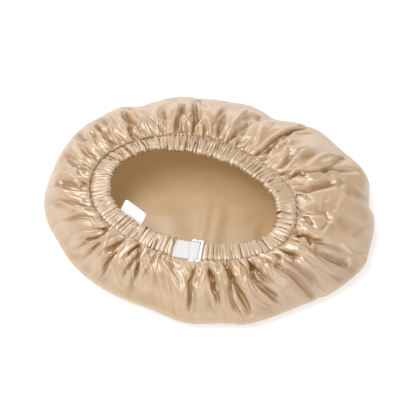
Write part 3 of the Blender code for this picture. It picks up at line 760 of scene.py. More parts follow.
    (1.6, 1.3, [(184.3, 27.5), (185.7, 21.2), (188.7, 17.6), (183.3, 6.4), (179.0, 1.5)]),
    (-2.4, 2.4, [(179.0, 48.4), (183.3, 37.8), (186.7, 32.6), (188.3, 26.2)]),
    (1.3, 1.4, [(179.0, 41.8), (182.7, 33.9), (184.7, 28.7)]),
    (1.8, 1.4, [(196.7, 17.6), (199.3, 17.6), (202.7, 15.3), (203.0, 6.4), (200.7, 1.5), (195.0, 3.3),
        (190.0, 2.4), (196.7, 17.6)]),
    (-2.2, 2.2, [(197.3, 10.7), (196.7, 1.5)]),
    (-4.6, 2.0, [(200.7, 1.5), (203.3, 8.5), (207.7, 18.8), (208.3, 26.2)]),
    (-3.4, 3.2, [(208.3, 26.2), (203.7, 33.9), (202.7, 41.8)]),
    (1.0, 2.0, [(182.0, 69.3), (185.3, 52.5), (187.7, 39.1), (189.0, 26.2)]),
    (-1.6, 3.0, [(154.0, 40.4), (157.0, 26.2)]),
    (1.3, 1.3, [(151.0, 9.6), (156.0, 8.5), (156.3, 2.4), (155.0, 1.5)]),
    (1.3, 1.8, [(157.0, 39.1), (159.3, 23.7)]),
]]


class RidgeRow(NamedTuple):
    """A soft ridge of the cloth inside: its ends in plan, its height and its half width, in mm."""

    start_x: float
    start_y: float
    end_x: float
    end_y: float
    height: float
    width: float


RIDGES = [
    RidgeRow(-49, 22, -33, -52, 2.2, 14), RidgeRow(3, 34, -12, -62, 2.6, 6.5),
    RidgeRow(17, 30, 1, -66, 2.4, 6), RidgeRow(50, 10, 28, -70, 3.0, 9), RidgeRow(60, 12, 42, -66, 2.0, 6),
    RidgeRow(68, -25, 60, -66, 1.6, 5),
]


class Pleats:
    """Pleats of uneven width and height along a line, with round crests and narrow valleys."""

    def __init__(self, edges: np.ndarray, heights: np.ndarray) -> None:
        """Takes the valleys' places, one more than the pleats, and each pleat's height."""
        self.edges = edges
        self.heights = heights

    @classmethod
    def uneven(
        cls, start: float, end: float, count: int, spread: float, seed: int, finer: float = 0.0
    ) -> "Pleats":
        """Divides a stretch into pleats.

        Args:
            start: where the stretch starts.
            end: where it ends.
            count: how many pleats.
            spread: how uneven they are, 0 to 1.
            seed: the seed for their widths and heights.
            finer: how much narrower they are on the far side, at 90 degrees, and wider on the near side.

        Returns:
            The pleats.
        """
        chance = np.random.default_rng(seed)
        widths = 1 + spread * chance.uniform(-1, 1, count)
        heights = 1 + 0.7 * spread * chance.uniform(-1, 1, count)
        places = start + (end - start) * (np.arange(count) + 0.5) / count
        widths *= 1 - finer * np.sin(np.radians(places))
        edges = start + (end - start) * np.concatenate([[0], np.cumsum(widths) / widths.sum()])
        return cls(edges, heights * widths**0.5)

    def phase(self, place: np.ndarray) -> tuple[np.ndarray, np.ndarray]:
        """Each place's pleat, and how far along it the place is."""
        start, end = self.edges[0], self.edges[-1]
        place = start + (place - start) % (end - start)
        index = np.clip(np.searchsorted(self.edges, place, side="right") - 1, 0, len(self.heights) - 1)
        return index, (place - self.edges[index]) / (self.edges[index + 1] - self.edges[index])

    def wave(self, place: np.ndarray, roundness: float = 0.55) -> np.ndarray:
        """0 in the valleys and about 1 on the crests."""
        index, phase = self.phase(place)
        before = self.heights[(index - 1) % len(self.heights)]
        after = self.heights[(index + 1) % len(self.heights)]
        own = self.heights[index]
        side = np.where(phase < 0.5, before, after)
        height = own + (side - own) * 0.5 * (2 * np.abs(phase - 0.5)) ** 3
        return height * np.maximum(0.0, 1 - (2 * phase - 1) ** 2) ** roundness

    def crests(self, place: np.ndarray) -> np.ndarray:
        """Narrower crests than wave's, between slits."""
        return 0.85 * self.wave(place, 1.3) + 0.2 * self.wave(place, 0.35)


class Mottle:
    """A smooth random field over angles and a second place from 0 to 1."""

    def __init__(self, around: int, across: int, seed: int) -> None:
        """Draws its knots, from -1 to 1.

        Args:
            around: how many knots once round.
            across: how many knots across.
            seed: the seed.
        """
        self.knots = np.random.default_rng(seed).uniform(-1, 1, (across, around))

    def __call__(self, angle_deg: np.ndarray, place: np.ndarray | float) -> np.ndarray:
        """The field's values."""
        across, around = self.knots.shape
        u = np.asarray(angle_deg, float) % 360 / 360 * around
        v = np.clip(np.asarray(place, float), 0, 1) * (across - 1)
        i, j = np.floor(u).astype(int), np.minimum(np.floor(v).astype(int), across - 2)
        a, b = smooth(u - i), smooth(v - j)
        i, after = i % around, (i + 1) % around
        near = self.knots[j, i] * (1 - a) + self.knots[j, after] * a
        far = self.knots[j + 1, i] * (1 - a) + self.knots[j + 1, after] * a
        return near * (1 - b) + far * b


class BandFrame(NamedTuple):
    """The band's frames at many angles: outer edge, way across, way off its face."""

    edge: np.ndarray
    across: np.ndarray
    off: np.ndarray

    def point(self, across: np.ndarray | float, off: np.ndarray | float) -> np.ndarray:
        """Points at distances across the band and off its face."""
        across, off = np.asarray(across)[..., None], np.asarray(off)[..., None]
        return self.edge + self.across * across + self.off * off


@dataclass
class Layout:
    """Where the crown's outline and the band lie. Every sub-assembly is built on it."""

    centre_x: float = -17.62 * MM
    centre_y: float = -20.16 * MM
    seam_height: float = 48 * MM
    puff_height: float = 57 * MM
    gap_start: float = 254.0
    gap_end: float = 277.6
    band_width: float = 22.3 * MM
    seam_room: float = 0.2 * MM
    pleats: int = 146
    unevenness: float = 0.55
    finer: float = 0.22
    hem_half_deg: float = 8.0
    hem_fade_deg: float = 5.0

    def __post_init__(self) -> None:
        """Draws the curves through the tables' rows."""
        self.rim = RoundCurve([(row.angle, row.reach * MM) for row in RIM])
        self.overlap = RoundCurve([(angle, value * MM) for angle, value in OVERLAP])
        self.contour = RoundCurve([(angle, value * MM) for angle, value in CONTOUR])
        self.seam = RoundCurve([(row.angle, row.seam * MM) for row in BAND])
        self.tilt = RoundCurve([(row.angle, math.radians(row.tilt)) for row in BAND])
        self.calmness = RoundCurve(CALM)

    def gathers(self) -> Pleats:
        """The pleats that the casing and the crown share at their seam."""
        return Pleats.uneven(self.gap_end, self.gap_start + 360, self.pleats, self.unevenness, 5, self.finer)

    def turned(self, angle_deg: np.ndarray) -> np.ndarray:
        """Angles counted on from the gap's end."""
        return (angle_deg - self.gap_end) % 360 + self.gap_end

    def calm(self, angle_deg: np.ndarray) -> np.ndarray:
        """1 where the crown lies in large smooth panels, and 0 where folds cross it."""
        return np.clip(self.calmness(angle_deg), 0, 1)

    def plainness(self, angle_deg: np.ndarray) -> np.ndarray:
        """1 at the gap, where the hem isn't gathered, and 0 elsewhere."""
        off = np.abs(turn_from((self.gap_start + self.gap_end) / 2, angle_deg))
        return 1 - smooth((off - self.hem_half_deg) / self.hem_fade_deg)

    def at(self, angle_deg: np.ndarray, reach: np.ndarray, height: np.ndarray) -> np.ndarray:
        """Points at an angle, reach and height from under the opening's middle."""
        angle = np.radians(angle_deg)
        x = self.centre_x + reach * np.cos(angle)
        y = self.centre_y + reach * np.sin(angle)
        return np.stack(np.broadcast_arrays(x, y, height), axis=-1)

    def seam_line(self, angle_deg: np.ndarray) -> np.ndarray:
        """Points of the seam between crown and casing."""
        return self.at(angle_deg, self.seam(angle_deg), np.full(np.shape(angle_deg), self.seam_height))

    def band(self, angle_deg: np.ndarray) -> BandFrame:
        """The band's frames at angles, square to the seam."""
        angle_deg = np.asarray(angle_deg, float)
        along = self.seam_line(angle_deg + 0.5) - self.seam_line(angle_deg - 0.5)
        along /= np.linalg.norm(along, axis=-1, keepdims=True)
        inwards = np.stack([-along[..., 1], along[..., 0], np.zeros(angle_deg.shape)], axis=-1)
        tilt = self.tilt(angle_deg)[..., None]
        across = inwards * np.cos(tilt) + np.array([0.0, 0.0, 1.0]) * np.sin(tilt)
        room = self.seam_room + 0.5 * MM * np.abs(np.sin(tilt))
        off = np.cross(along, across)
        return BandFrame(self.seam_line(angle_deg) + across * room, across, off)


# ----------------------------------------------------------------------------------------------------
# Meshes


def placed(name: str, data: bpy.types.ID) -> bpy.types.Object:
    """Puts a mesh, a lamp or a camera into the scene."""
    obj = bpy.data.objects.new(name, data)
    bpy.context.scene.collection.objects.link(obj)
    return obj


@contextmanager
def edited(obj: bpy.types.Object) -> Iterator[bmesh.types.BMesh]:
    """Opens an object's mesh, and writes it back after the changes."""
    bm = bmesh.new()
    bm.from_mesh(obj.data)
    bm.verts.ensure_lookup_table()
    yield bm
    bm.to_mesh(obj.data)
    bm.free()


def grid_object(
    name: str,
    points: np.ndarray,
    around: bool = False,
    numbers: dict[str, np.ndarray] | None = None,
) -> bpy.types.Object:
    """Makes a mesh from a grid of points.

    Args:
        name: the object's name.
        points: rows by columns by 3.
        around: whether each row closes on itself.
        numbers: a number for each point, by attribute name.

    Returns:
        The object.
    """
    rows, columns = points.shape[:2]
    index = np.arange(rows * columns).reshape(rows, columns)
    if around:
        index = np.concatenate([index, index[:, :1]], axis=1)
    quads = np.stack([index[:-1, :-1], index[:-1, 1:], index[1:, 1:], index[1:, :-1]], axis=-1)
    quads = quads.reshape(-1, 4)
    mesh = bpy.data.meshes.new(name)
    mesh.vertices.add(rows * columns)
    mesh.vertices.foreach_set("co", points.reshape(-1))
    mesh.loops.add(quads.size)
    mesh.loops.foreach_set("vertex_index", quads.reshape(-1))
    mesh.polygons.add(len(quads))
    mesh.polygons.foreach_set("loop_start", np.arange(0, quads.size, 4))
    mesh.update(calc_edges=True)
    mesh.validate()
    mesh.shade_smooth()
    obj = placed(name, mesh)
    store(obj, **{key: np.broadcast_to(values, (rows, columns)) for key, values in (numbers or {}).items()})
    return obj


def store(obj: bpy.types.Object, **numbers: np.ndarray) -> None:
    """Stores numbers at an object's vertices, by attribute name."""
    for key, values in numbers.items():
        stored = obj.data.attributes.get(key) or obj.data.attributes.new(key, "FLOAT", "POINT")
        stored.data.foreach_set("value", np.asarray(values, np.float32).reshape(-1))


def cap_loop(obj: bpy.types.Object, loop: Iterable[int]) -> None:
    """Closes a loop of vertices with one face."""
    with edited(obj) as bm:
        bm.faces.new([bm.verts[i] for i in loop])


def face_out(obj: bpy.types.Object) -> None:
    """Turns a closed mesh's faces outwards."""
    with edited(obj) as bm:
        bmesh.ops.recalc_face_normals(bm, faces=bm.faces)


def resample(points: np.ndarray, rows: int, columns: int) -> np.ndarray:
    """Reads a grid of points, whose rows close on themselves, at a finer grid's places."""
    old_rows, old_columns = points.shape[:2]
    place = np.linspace(0, old_rows - 1, rows)
    i = np.minimum(place.astype(int), old_rows - 2)
    t = (place - i)[:, None, None]
    a = points[np.maximum(i - 1, 0)]
    b = points[i]
    c = points[i + 1]
    d = points[np.minimum(i + 2, old_rows - 1)]
    tall = spline(a, b, c, d, t)
    place = np.arange(columns) * old_columns / columns
    j = np.floor(place).astype(int)
    u = (place - j)[None, :, None]
    a, b = tall[:, (j - 1) % old_columns], tall[:, j % old_columns]
    c, d = tall[:, (j + 1) % old_columns], tall[:, (j + 2) % old_columns]
    return spline(a, b, c, d, u)


def averaged(values: np.ndarray, reach: int) -> np.ndarray:
    """Each value's mean over its neighbours along the first axis, as many as reach on each side."""
    total = np.cumsum(np.pad(values, ((reach + 1, reach), (0, 0)), "edge"), axis=0)
    return (total[2 * reach + 1 :] - total[: -2 * reach - 1]) / (2 * reach + 1)


def distance_to_path(x: np.ndarray, y: np.ndarray, knots: np.ndarray) -> tuple[np.ndarray, np.ndarray]:
    """How far points lie from a path, and at which share of its length.

    Args:
        x: their first coordinates.
        y: their second ones.
        knots: the path's places.

    Returns:
        Distances, and shares.
    """
    sides = np.diff(knots, axis=0)
    lengths = np.linalg.norm(sides, axis=1) + 1e-9
    starts = travelled(lengths)
    best, share = np.full(x.shape, np.inf), np.zeros(x.shape)
    for knot, side, length, start in zip(knots, sides, lengths, starts):
        t = np.clip(((x - knot[0]) * side[0] + (y - knot[1]) * side[1]) / length**2, 0, 1)
        gap = np.hypot(x - knot[0] - t * side[0], y - knot[1] - t * side[1])
        nearer = gap < best
        best = np.where(nearer, gap, best)
        share = np.where(nearer, (start + t * length) / starts[-1], share)
    return best, share


def merge_doubles(obj: bpy.types.Object) -> None:
    """Joins vertices that lie on each other."""
    with edited(obj) as bm:
        bmesh.ops.remove_doubles(bm, verts=bm.verts, dist=1e-6)


def applied(obj: bpy.types.Object, name: str) -> bpy.types.Object:
    """Replaces an object by its shape with its modifiers applied, and removes their cutters.

    Args:
        obj: the object.
        name: the new object's name.

    Returns:
        The new object.
    """
    cutters = [m.object for m in obj.modifiers if m.type == "BOOLEAN"]
    depsgraph = bpy.context.evaluated_depsgraph_get()
    mesh = bpy.data.meshes.new_from_object(obj.evaluated_get(depsgraph))
    for used in [obj, *cutters]:
        bpy.data.objects.remove(used)
    mesh.name = name
    return placed(name, mesh)


def dress(obj: bpy.types.Object, finish: Finish, slot: str, *nodes: str) -> None:
    """Gives a piece its material and its body, and hides the imported nodes that it stands for."""
    obj.data.materials.clear()
    obj.data.materials.append(finish.material())
    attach(obj, "root")
    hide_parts(*nodes)
    LOG.info("%s: %d faces", obj.name, len(obj.data.polygons))


# ----------------------------------------------------------------------------------------------------
# Sub-assemblies


@dataclass
class Drape:
    """A sheet of cloth on a grid, settled by position-based dynamics.

    The grid is rows by columns and each row closes on itself.
    """

    points: np.ndarray
    around: np.ndarray
    down: np.ndarray
    free: np.ndarray
    ring: int = 1
    kept: int = 10
    finest: int = 60
    faint: float = 0.12
    limit: Callable[[np.ndarray], None] | None = None

    def __post_init__(self) -> None:
        """Starts at rest."""
        self.start = self.points.copy()
        self.speed = np.zeros_like(self.points)
        side = (self.around[:-1] + self.around[1:]) / 2
        lengths = (self.down + np.roll(self.down, -1, 1)) / 2
        self.slant = np.sqrt(side**2 + lengths**2)

    @staticmethod
    def _pull(
        first: np.ndarray, second: np.ndarray, length: np.ndarray, w1: np.ndarray, w2: np.ndarray, give: float
    ) -> None:
        """Moves pairs of points towards a distance, in place.

        Args:
            first: views of the pairs' first points.
            second: views of their second points.
            length: the distances wanted.
            w1: how free each first point is.
            w2: how free each second point is.
            give: the share of the error that is taken away.
        """
        gap = second - first
        size = np.sqrt((gap * gap).sum(-1)) + 1e-9
        push = (give * (size - length) / (size * np.maximum(w1 + w2, 1e-9)))[..., None] * gap
        first += push * w1[..., None]
        second -= push * w2[..., None]

    def _threads(self, shear: float) -> None:
        """One pass over every thread, in groups that share no point."""
        p, w, rows = self.points, self.free, len(self.points)
        around, down, slant = self.around, self.down, self.slant
        self._pull(p[:, 0::2], p[:, 1::2], around[:, 0::2], w[:, 0::2], w[:, 1::2], 1.0)
        self._pull(p[:, 1:-1:2], p[:, 2::2], around[:, 1:-1:2], w[:, 1:-1:2], w[:, 2::2], 1.0)
        self._pull(p[:, -1:], p[:, :1], around[:, -1:], w[:, -1:], w[:, :1], 1.0)
        for start in (0, 1):
            end = start + (rows - start) // 2 * 2
            a, b = slice(start, end, 2), slice(start + 1, end, 2)
            self._pull(p[a], p[b], down[a], w[a], w[b], 1.0)
            self._pull(p[a, :-1], p[b, 1:], slant[a, :-1], w[a, :-1], w[b, 1:], shear)
            self._pull(p[a, 1:], p[b, :-1], slant[a, :-1], w[a, 1:], w[b, :-1], shear)
            self._pull(p[a, -1:], p[b, :1], slant[a, -1:], w[a, -1:], w[b, :1], shear)
            self._pull(p[a, :1], p[b, -1:], slant[a, -1:], w[a, :1], w[b, -1:], shear)

    def _apart(self, steps: Sequence[int], least: float) -> None:
        """Keeps a fold's two sides from meeting.

        Args:
            steps: how many columns apart the points are that are compared.
            least: the least distance between them.
        """
        for step in steps:
            other = np.roll(self.points, -step, 1)
            gap = other - self.points
            size = np.sqrt((gap * gap).sum(-1)) + 1e-9
            push = (0.25 * np.maximum(0.0, least - size) / size)[..., None] * gap
            self.points -= push * self.free[..., None]
            self.points += np.roll(push, step, 1) * self.free[..., None]

    def normals(self) -> np.ndarray:
        """The sheet's directions away from its inside."""
        p = self.points
        normal = np.cross(np.gradient(p, axis=0), np.roll(p, -1, 1) - np.roll(p, 1, 1))
        return normal / (np.sqrt((normal * normal).sum(-1, keepdims=True)) + 1e-12)

    @staticmethod
    def _bent(p: np.ndarray) -> np.ndarray:
        """Second differences, both ways."""
        out = np.roll(p, 1, 1) + np.roll(p, -1, 1) - 2 * p
        out[1:-1] += p[2:] + p[:-2] - 2 * p[1:-1]
        return out

    def _broad(self, values: np.ndarray) -> np.ndarray:
        """What is left of some values without their finer waves."""
        waves = np.fft.rfft(values, axis=self.ring)
        number = np.arange(waves.shape[self.ring])
        weight = self.faint + (1 - self.faint) * (1 - smooth((number - self.kept) / self.kept))
        weight = np.where(number > self.finest, 0.0, weight)
        shape = [1, 1, 1]
        shape[self.ring] = -1
        return np.fft.irfft(waves * weight.reshape(shape), values.shape[self.ring], axis=self.ring)

    def run(
        self,
        steps: int,
        passes: int = 3,
        push: float = 0.03 * MM,
        memory: float = 0.2,
        stiff: float = 0.02,
        shear: float = 0.3,
        apart: Sequence[int] = (),
        least: float = 1.0 * MM,
    ) -> None:
        """Settles the sheet.

        Args:
            steps: how many.
            passes: over the threads, in each step.
            push: how far the air inside moves a free point in one step.
            memory: how strongly the broad shape is kept.
            stiff: how strongly bends are taken out.
            shear: how strongly the weave keeps its square corners.
            apart: which columns are kept apart.
            least: how far apart.
        """
        free = self.free[..., None]
        for step in range(steps):
            before = self.points.copy()
            self.points += (0.92 * self.speed + self.normals() * push) * free
            self.points -= memory * self._broad(self.points - self.start) * free
            for _ in range(passes):
                self._threads(shear)
            self.points -= stiff * self._bent(self._bent(self.points)) * free
            if apart and step % 3 == 0:
                self._apart(apart, least)
            if self.limit:
                self.limit(self.points)
            self.speed = self.points - before

    def finer(self, rows: int, columns: int) -> "Drape":
        """The same sheet on a finer grid."""
        old_rows, old_columns = self.points.shape[:2]
        ratio = old_rows / rows, old_columns / columns

        def lengths(values: np.ndarray, new_rows: int) -> np.ndarray:
            """Numbers between points, read at the new grid's places."""
            place = np.linspace(0, len(values) - 1, new_rows)
            i = np.minimum(place.astype(int), len(values) - 2)
            t = (place - i)[:, None]
            tall = values[i] * (1 - t) + values[i + 1] * t
            column = (np.arange(columns) + 0.5) * ratio[1] - 0.5
            j = np.floor(column).astype(int)
            u = column - j
            return tall[:, j % old_columns] * (1 - u) + tall[:, (j + 1) % old_columns] * u

        grow = (old_rows - 1) / (rows - 1)
        return Drape(
            resample(self.points, rows, columns),
            lengths(self.around, rows) * ratio[1],
            lengths(self.down, rows - 1) * grow,
            np.round(lengths(self.free, rows)),
            self.ring,
            self.kept,
            self.finest,
            self.faint,
            self.limit,
        )


@dataclass
class CrownCloth:
    """The crown: one sheet of satin, gathered at the seam and lying on its middle.

    drawn and slim scale the creases' heights and widths, boldness the folds' heights, and panels is how
    far the smooth panels are evened out. slack is cloth left over for new folds. pucker and bead are the
    casing's pleats carried on beside the seam.
    """

    layout: Layout
    columns: int = 1080
    rows: int = 82
    floor_step: float = 3.6 * MM
    radius: float = 255 * MM
    seam_ratio: float = 2.1
    gather_count: int = 96
    gather_height: float = 1.3 * MM
    tuck_count: int = 58
    swell_count: int = 84
    swell_height: float = 1.3
    drawn: float = 1.05
    slim: float = 0.9
    tuck: float = 0.8 * MM
    pucker: float = 2.0 * MM
    bead: float = 2.2 * MM
    slack_at_seam: float = 0.20
    slack_at_rim: float = 0.025
    boldness: float = 0.85
    panels: float = 0.9
    air: float = 0.015 * MM
    shortest_fold: float = 14 * MM
    near_side_deg: float = 266.0
    ridge_beside: float = 0.35
    pucker_reach: tuple[float, float] = (8, 22)
    off_floor: float = 0.3 * MM
    off_band: float = 0.3 * MM
    overhang_from: float = 50.5 * MM
    wall_from: float = 35 * MM
    deepest: float = -5.5 * MM
    highest: float = 3.5 * MM
    coarse: tuple[int, int] = (40, 360)
    medium: tuple[int, int] = (64, 720)

    def __post_init__(self) -> None:
        """Scatters the soft swells, and tabulates how near to the band the cloth may come.

        A swell is an angle, a share, a width in mm, a length as a share and a height in mm.
        """
        chance = np.random.default_rng(31)
        count = self.swell_count
        self.swells = np.stack([
            chance.uniform(0, 360, count), chance.uniform(0.35, 1.05, count), chance.uniform(8, 20, count),
            chance.uniform(0.16, 0.34, count), chance.normal(0, self.swell_height, count),
        ], axis=1)
        self.table_angle = np.arange(0, 361, 2.0)
        self.table_seam = self.layout.seam(self.table_angle) - self.off_band
        self.table_lean = self.layout.overlap(self.table_angle) + 0.8 * MM + 0.5 * self.bead

    def _meridian(self, rows: int) -> np.ndarray:
        """The meridian's stations at even lengths along it, with StationRow's columns."""
        table = np.array(STATIONS, float)
        ends = np.vstack([2 * table[0] - table[1], table, 2 * table[-1] - table[-2]])
        place = np.linspace(0, len(table) - 1, 400)
        i = np.minimum(place.astype(int), len(table) - 2)
        t = (place - i)[:, None]
        a, b, c, d = ends[i], ends[i + 1], ends[i + 2], ends[i + 3]
        fine = spline(a, b, c, d, t)
        path = np.stack([fine[:, 0] * RIM_WIDTH - fine[:, 1], fine[:, 2] * PUFF], axis=1)
        gone = travelled(spans_down(path))
        wanted = self._along(rows) * gone[-1]
        return np.stack([np.interp(wanted, gone, fine[:, k]) for k in range(6)], axis=1)

    @staticmethod
    def _along(rows: int) -> np.ndarray:
        """How far along the meridian the rows lie: closest near the seam, and far apart underneath."""
        t = np.linspace(0, 1, rows)
        return (0.82 * t + 0.18 * t**5) ** 1.1

    def _relief(self, angle: np.ndarray, share: float) -> np.ndarray:
        """The folds' height over the plain surface, in metres.

        Args:
            angle: degrees.
            share: 0 at the seam and 1 at the outline.

        Returns:
            A height for each angle.
        """
        seam, rim = self.layout.seam(angle), self.layout.rim(angle)
        gone = share * (rim - seam)
        total = np.zeros(len(angle))
        bowl = smooth((gone - 3 * MM) / (5 * MM))
        arch = np.exp(-(((gone - 3.5 * MM) / (3 * MM)) ** 2))
        for fold in FOLDS:
            near = float(smooth(1.3 - abs(fold.seam_deg - self.near_side_deg) / 50))
            whole = float(self.layout.rim(fold.end_deg) - self.layout.seam(fold.end_deg))
            length = max(fold.reach * MM - float(self.layout.seam(fold.end_deg)), self.shortest_fold)
            length = min(length + self.shortest_fold * near, whole * 1.02)
            along = gone / length
            turn = turn_from(fold.seam_deg, fold.end_deg)
            middle = fold.seam_deg + turn * smooth(along * 0.9)
            off = turn_from(middle, angle)
            aside = np.radians(off) * (seam + gone)
            width = (fold.width + (fold.end_width - fold.width) * np.minimum(along, 1.2)) * MM
            fade = (1 - smooth((along - 0.75) / 0.6)) * (0.35 + 0.65 * smooth(along / 0.12))
            bell = np.exp(-((aside / (0.55 * width)) ** 2))
            if fold.height < 0:
                beside = self.ridge_beside * abs(fold.height) * self.boldness * MM
                total += beside * arch * np.exp(-((aside / width) ** 2))
                fade = fade * bowl
            total += fold.height * self.boldness * MM * fade * bell
        for swell in self.swells:
            off = turn_from(swell[0], angle)
            aside = np.radians(off) * (seam + gone) / (swell[2] * MM)
            out = (share - swell[1]) / swell[3]
            total += swell[4] * MM * np.exp(-(aside**2) - out**2)
        return total

    def _rough(self, rows: int, columns: int, folded: float) -> np.ndarray:
        """The cloth from the seam to the floor, with its folds marked.

        Args:
            rows: how many rows.
            columns: how many columns.
            folded: how much of the folds' height to give.

        Returns:
            Rows by columns by 3.
        """
        angle = round_angles(columns)
        gathers = Pleats.uneven(0, 360, self.gather_count, 0.5, 11).wave(angle) - 0.55
        tucks = Pleats.uneven(0, 360, self.tuck_count, 0.6, 23).wave(angle) - 0.55
        grid = []
        nearness = smooth(0.5 - 0.9 * np.sin(np.radians(angle)))
        gathered = (1 - self.layout.plainness(angle)) * (1 - 0.6 * self.layout.calm(angle))
        for share, inset, far, facing, fold, near in self._meridian(rows):
            height = far + (near - far) * nearness
            lift = self.gather_height * gathers * float(1 - smooth(share / 0.2))
            lift = lift + self.tuck * tucks * float(smooth(share / 0.05) * (1 - smooth((share - 0.08) / 0.3)))
            lift = self._relief(angle, share) + lift * gathered
            lift = lift * folded * min(1.0, fold * 1.1)
            seam, rim = self.layout.seam(angle), self.layout.rim(angle)
            rim = rim + self.layout.contour(angle)
            turn = math.radians(facing)
            bulge = self.layout.overlap(angle) * np.exp(-(((share * (rim - seam) - 5 * MM) / (4 * MM)) ** 2))
            height = height + 0.45 * bulge / self.layout.puff_height
            reach = seam + (rim - seam) * share - inset * MM - bulge * min(1.0, 40 * share)
            reach = reach + lift * math.cos(turn)
            tall = self.layout.puff_height * height + lift * math.sin(turn)
            grid.append(self.layout.at(angle, reach, tall))
        return np.array(grid)

    def _limit(self, p: np.ndarray) -> None:
        """Keeps the cloth over the floor and out of the band's place."""
        p[..., 2] = np.maximum(p[..., 2], self.off_floor)
        p = p[2:]
        x, y = p[..., 0] - self.layout.centre_x, p[..., 1] - self.layout.centre_y
        reach = np.sqrt(x * x + y * y)
        angle = np.degrees(np.arctan2(y, x)) % 360
        lean = np.interp(angle, self.table_angle, self.table_lean)
        over = smooth((p[..., 2] - self.overhang_from) / (2 * MM))
        least = np.interp(angle, self.table_angle, self.table_seam) - lean * over
        scale = np.where(p[..., 2] > self.wall_from, np.maximum(1.0, least / reach), 1.0)
        p[..., 0] = self.layout.centre_x + x * scale
        p[..., 1] = self.layout.centre_y + y * scale

    def _settled(self) -> np.ndarray:
        """The cloth after it has found its own folds, from coarse to fine."""
        rows, columns = self.coarse
        plain = self._rough(rows, columns, 0.0)
        marked = self._rough(rows, columns, 1.0)
        down = spans_down(plain)
        gone = travelled(down.mean(axis=1))
        ring = spans_around(plain)
        folded = spans_around(marked)
        cut = 2 * np.pi * (self.radius - gone)
        ratio = np.clip(cut / ring.sum(axis=1), 1.0, self.seam_ratio)
        share = self._meridian(rows)[:, 0]
        calm = self.layout.calm(round_angles(columns))
        slack = self.slack_at_seam * (1 - 0.75 * calm) * (1 - smooth(share[:, None] / (0.4 - 0.2 * calm)))
        slack = slack + self.slack_at_rim * (1 - calm)
        gathered = 1 - 0.9 * self.layout.plainness(round_angles(columns))
        around = folded * (1 + (ratio - 1)[:, None] * slack * gathered)
        free = np.ones(around.shape)
        free[:2] = 0.0
        free[-1] = 0.0
        drape = Drape(marked, around, down, free, limit=self._limit)
        drape.run(steps=160, push=self.air, stiff=0.02, apart=(3, 4), least=3 * MM)
        drape = drape.finer(*self.medium)
        drape.run(steps=100, push=self.air, stiff=0.02, apart=(4, 6), least=2 * MM)
        drape = drape.finer(self.rows, self.columns)
        self._smooth_panels(drape)
        self._pucker(drape)
        self._crease(drape)
        drape.run(steps=4, push=self.air, stiff=0.01, shear=0.0, apart=(5, 8), least=1.0 * MM)
        return drape.points

    @staticmethod
    def _plain(points: np.ndarray) -> tuple[np.ndarray, np.ndarray]:
        """The surface without its folds, and its normals."""
        waves = np.fft.rfft(points, axis=1)
        waves[:, PLAIN_WAVES:] = 0
        plain = np.fft.irfft(waves, points.shape[1], axis=1)
        normal = np.cross(np.gradient(plain, axis=0), np.roll(plain, -1, 1) - np.roll(plain, 1, 1))
        return plain, normal / (np.linalg.norm(normal, axis=-1, keepdims=True) + 1e-12)

    def _smooth_panels(self, drape: Drape) -> None:
        """Takes the gathers' fine waves out of the cloth where it lies in large smooth panels."""
        rows, columns = drape.points.shape[:2]
        share = self._meridian(rows)[:, :1]
        calm = self.panels * self.layout.calm(round_angles(columns))
        calm = calm * smooth((share - 0.02) / 0.15)
        drape.points += (self._rough(rows, columns, 1.0) - drape.points) * calm[..., None]
        across = spans_around(drape.points)
        down = spans_down(drape.points)
        drape.around += (across - drape.around) * calm
        drape.down += (down - drape.down) * calm[:-1]

    def _crease(self, drape: Drape) -> None:
        """Draws the creases into the cloth."""
        rows, columns = drape.points.shape[:2]
        plain, normal = self._plain(drape.points)
        angle = round_angles(columns)
        gone = travelled(spans_down(plain).mean(axis=1))
        along = self._along(rows)
        centre = np.array([self.layout.centre_x, self.layout.centre_y])
        reach = np.linalg.norm(plain[..., :2] - centre, axis=-1)
        lift = np.zeros((rows, columns))
        for crease in CREASES:
            path = np.array(crease.path)
            start = path[0, 0]
            turn = turn_from(start, path[:, 0])
            out = np.interp(path[:, 1] / 100, along, gone)
            column = int(round((start + turn.mean()) / 360 * columns)) % columns
            radius = reach[:, column]
            knots = np.stack([np.radians(turn) * np.interp(out, gone, radius), out], axis=1)
            width = self.slim * crease.width * MM
            margin = 3 * width
            here = (gone > out.min() - margin) & (gone < out.max() + margin)
            off = turn_from(start, angle)
            room = math.degrees(margin / radius[here].min())
            there = (off > turn.min() - room) & (off < turn.max() + room)
            x = np.radians(off[there])[None, :] * radius[here][:, None]
            y = np.broadcast_to(gone[here][:, None], x.shape)
            gap, place = distance_to_path(x, y, knots)
            ends = 1.0
            if crease.path[0] != crease.path[-1]:
                ends = (0.25 + 0.75 * smooth(place / 0.15)) * (1 - smooth((place - 0.85) / 0.2))
            bell = crease.height * MM * ends * np.exp(-((gap / width) ** 2))
            patch = np.ix_(here, there)
            lift[patch] += bell
        lift = np.clip(lift * self.drawn, self.deepest, self.highest)
        across = spans_around(drape.points)
        down = spans_down(drape.points)
        drape.points += normal * (lift * (drape.free > 0))[..., None]
        drape.around *= np.clip(spans_around(drape.points) / across, 1, 2)
        drape.down *= np.clip(spans_down(drape.points) / down, 1, 2)
        drape.start = drape.points.copy()

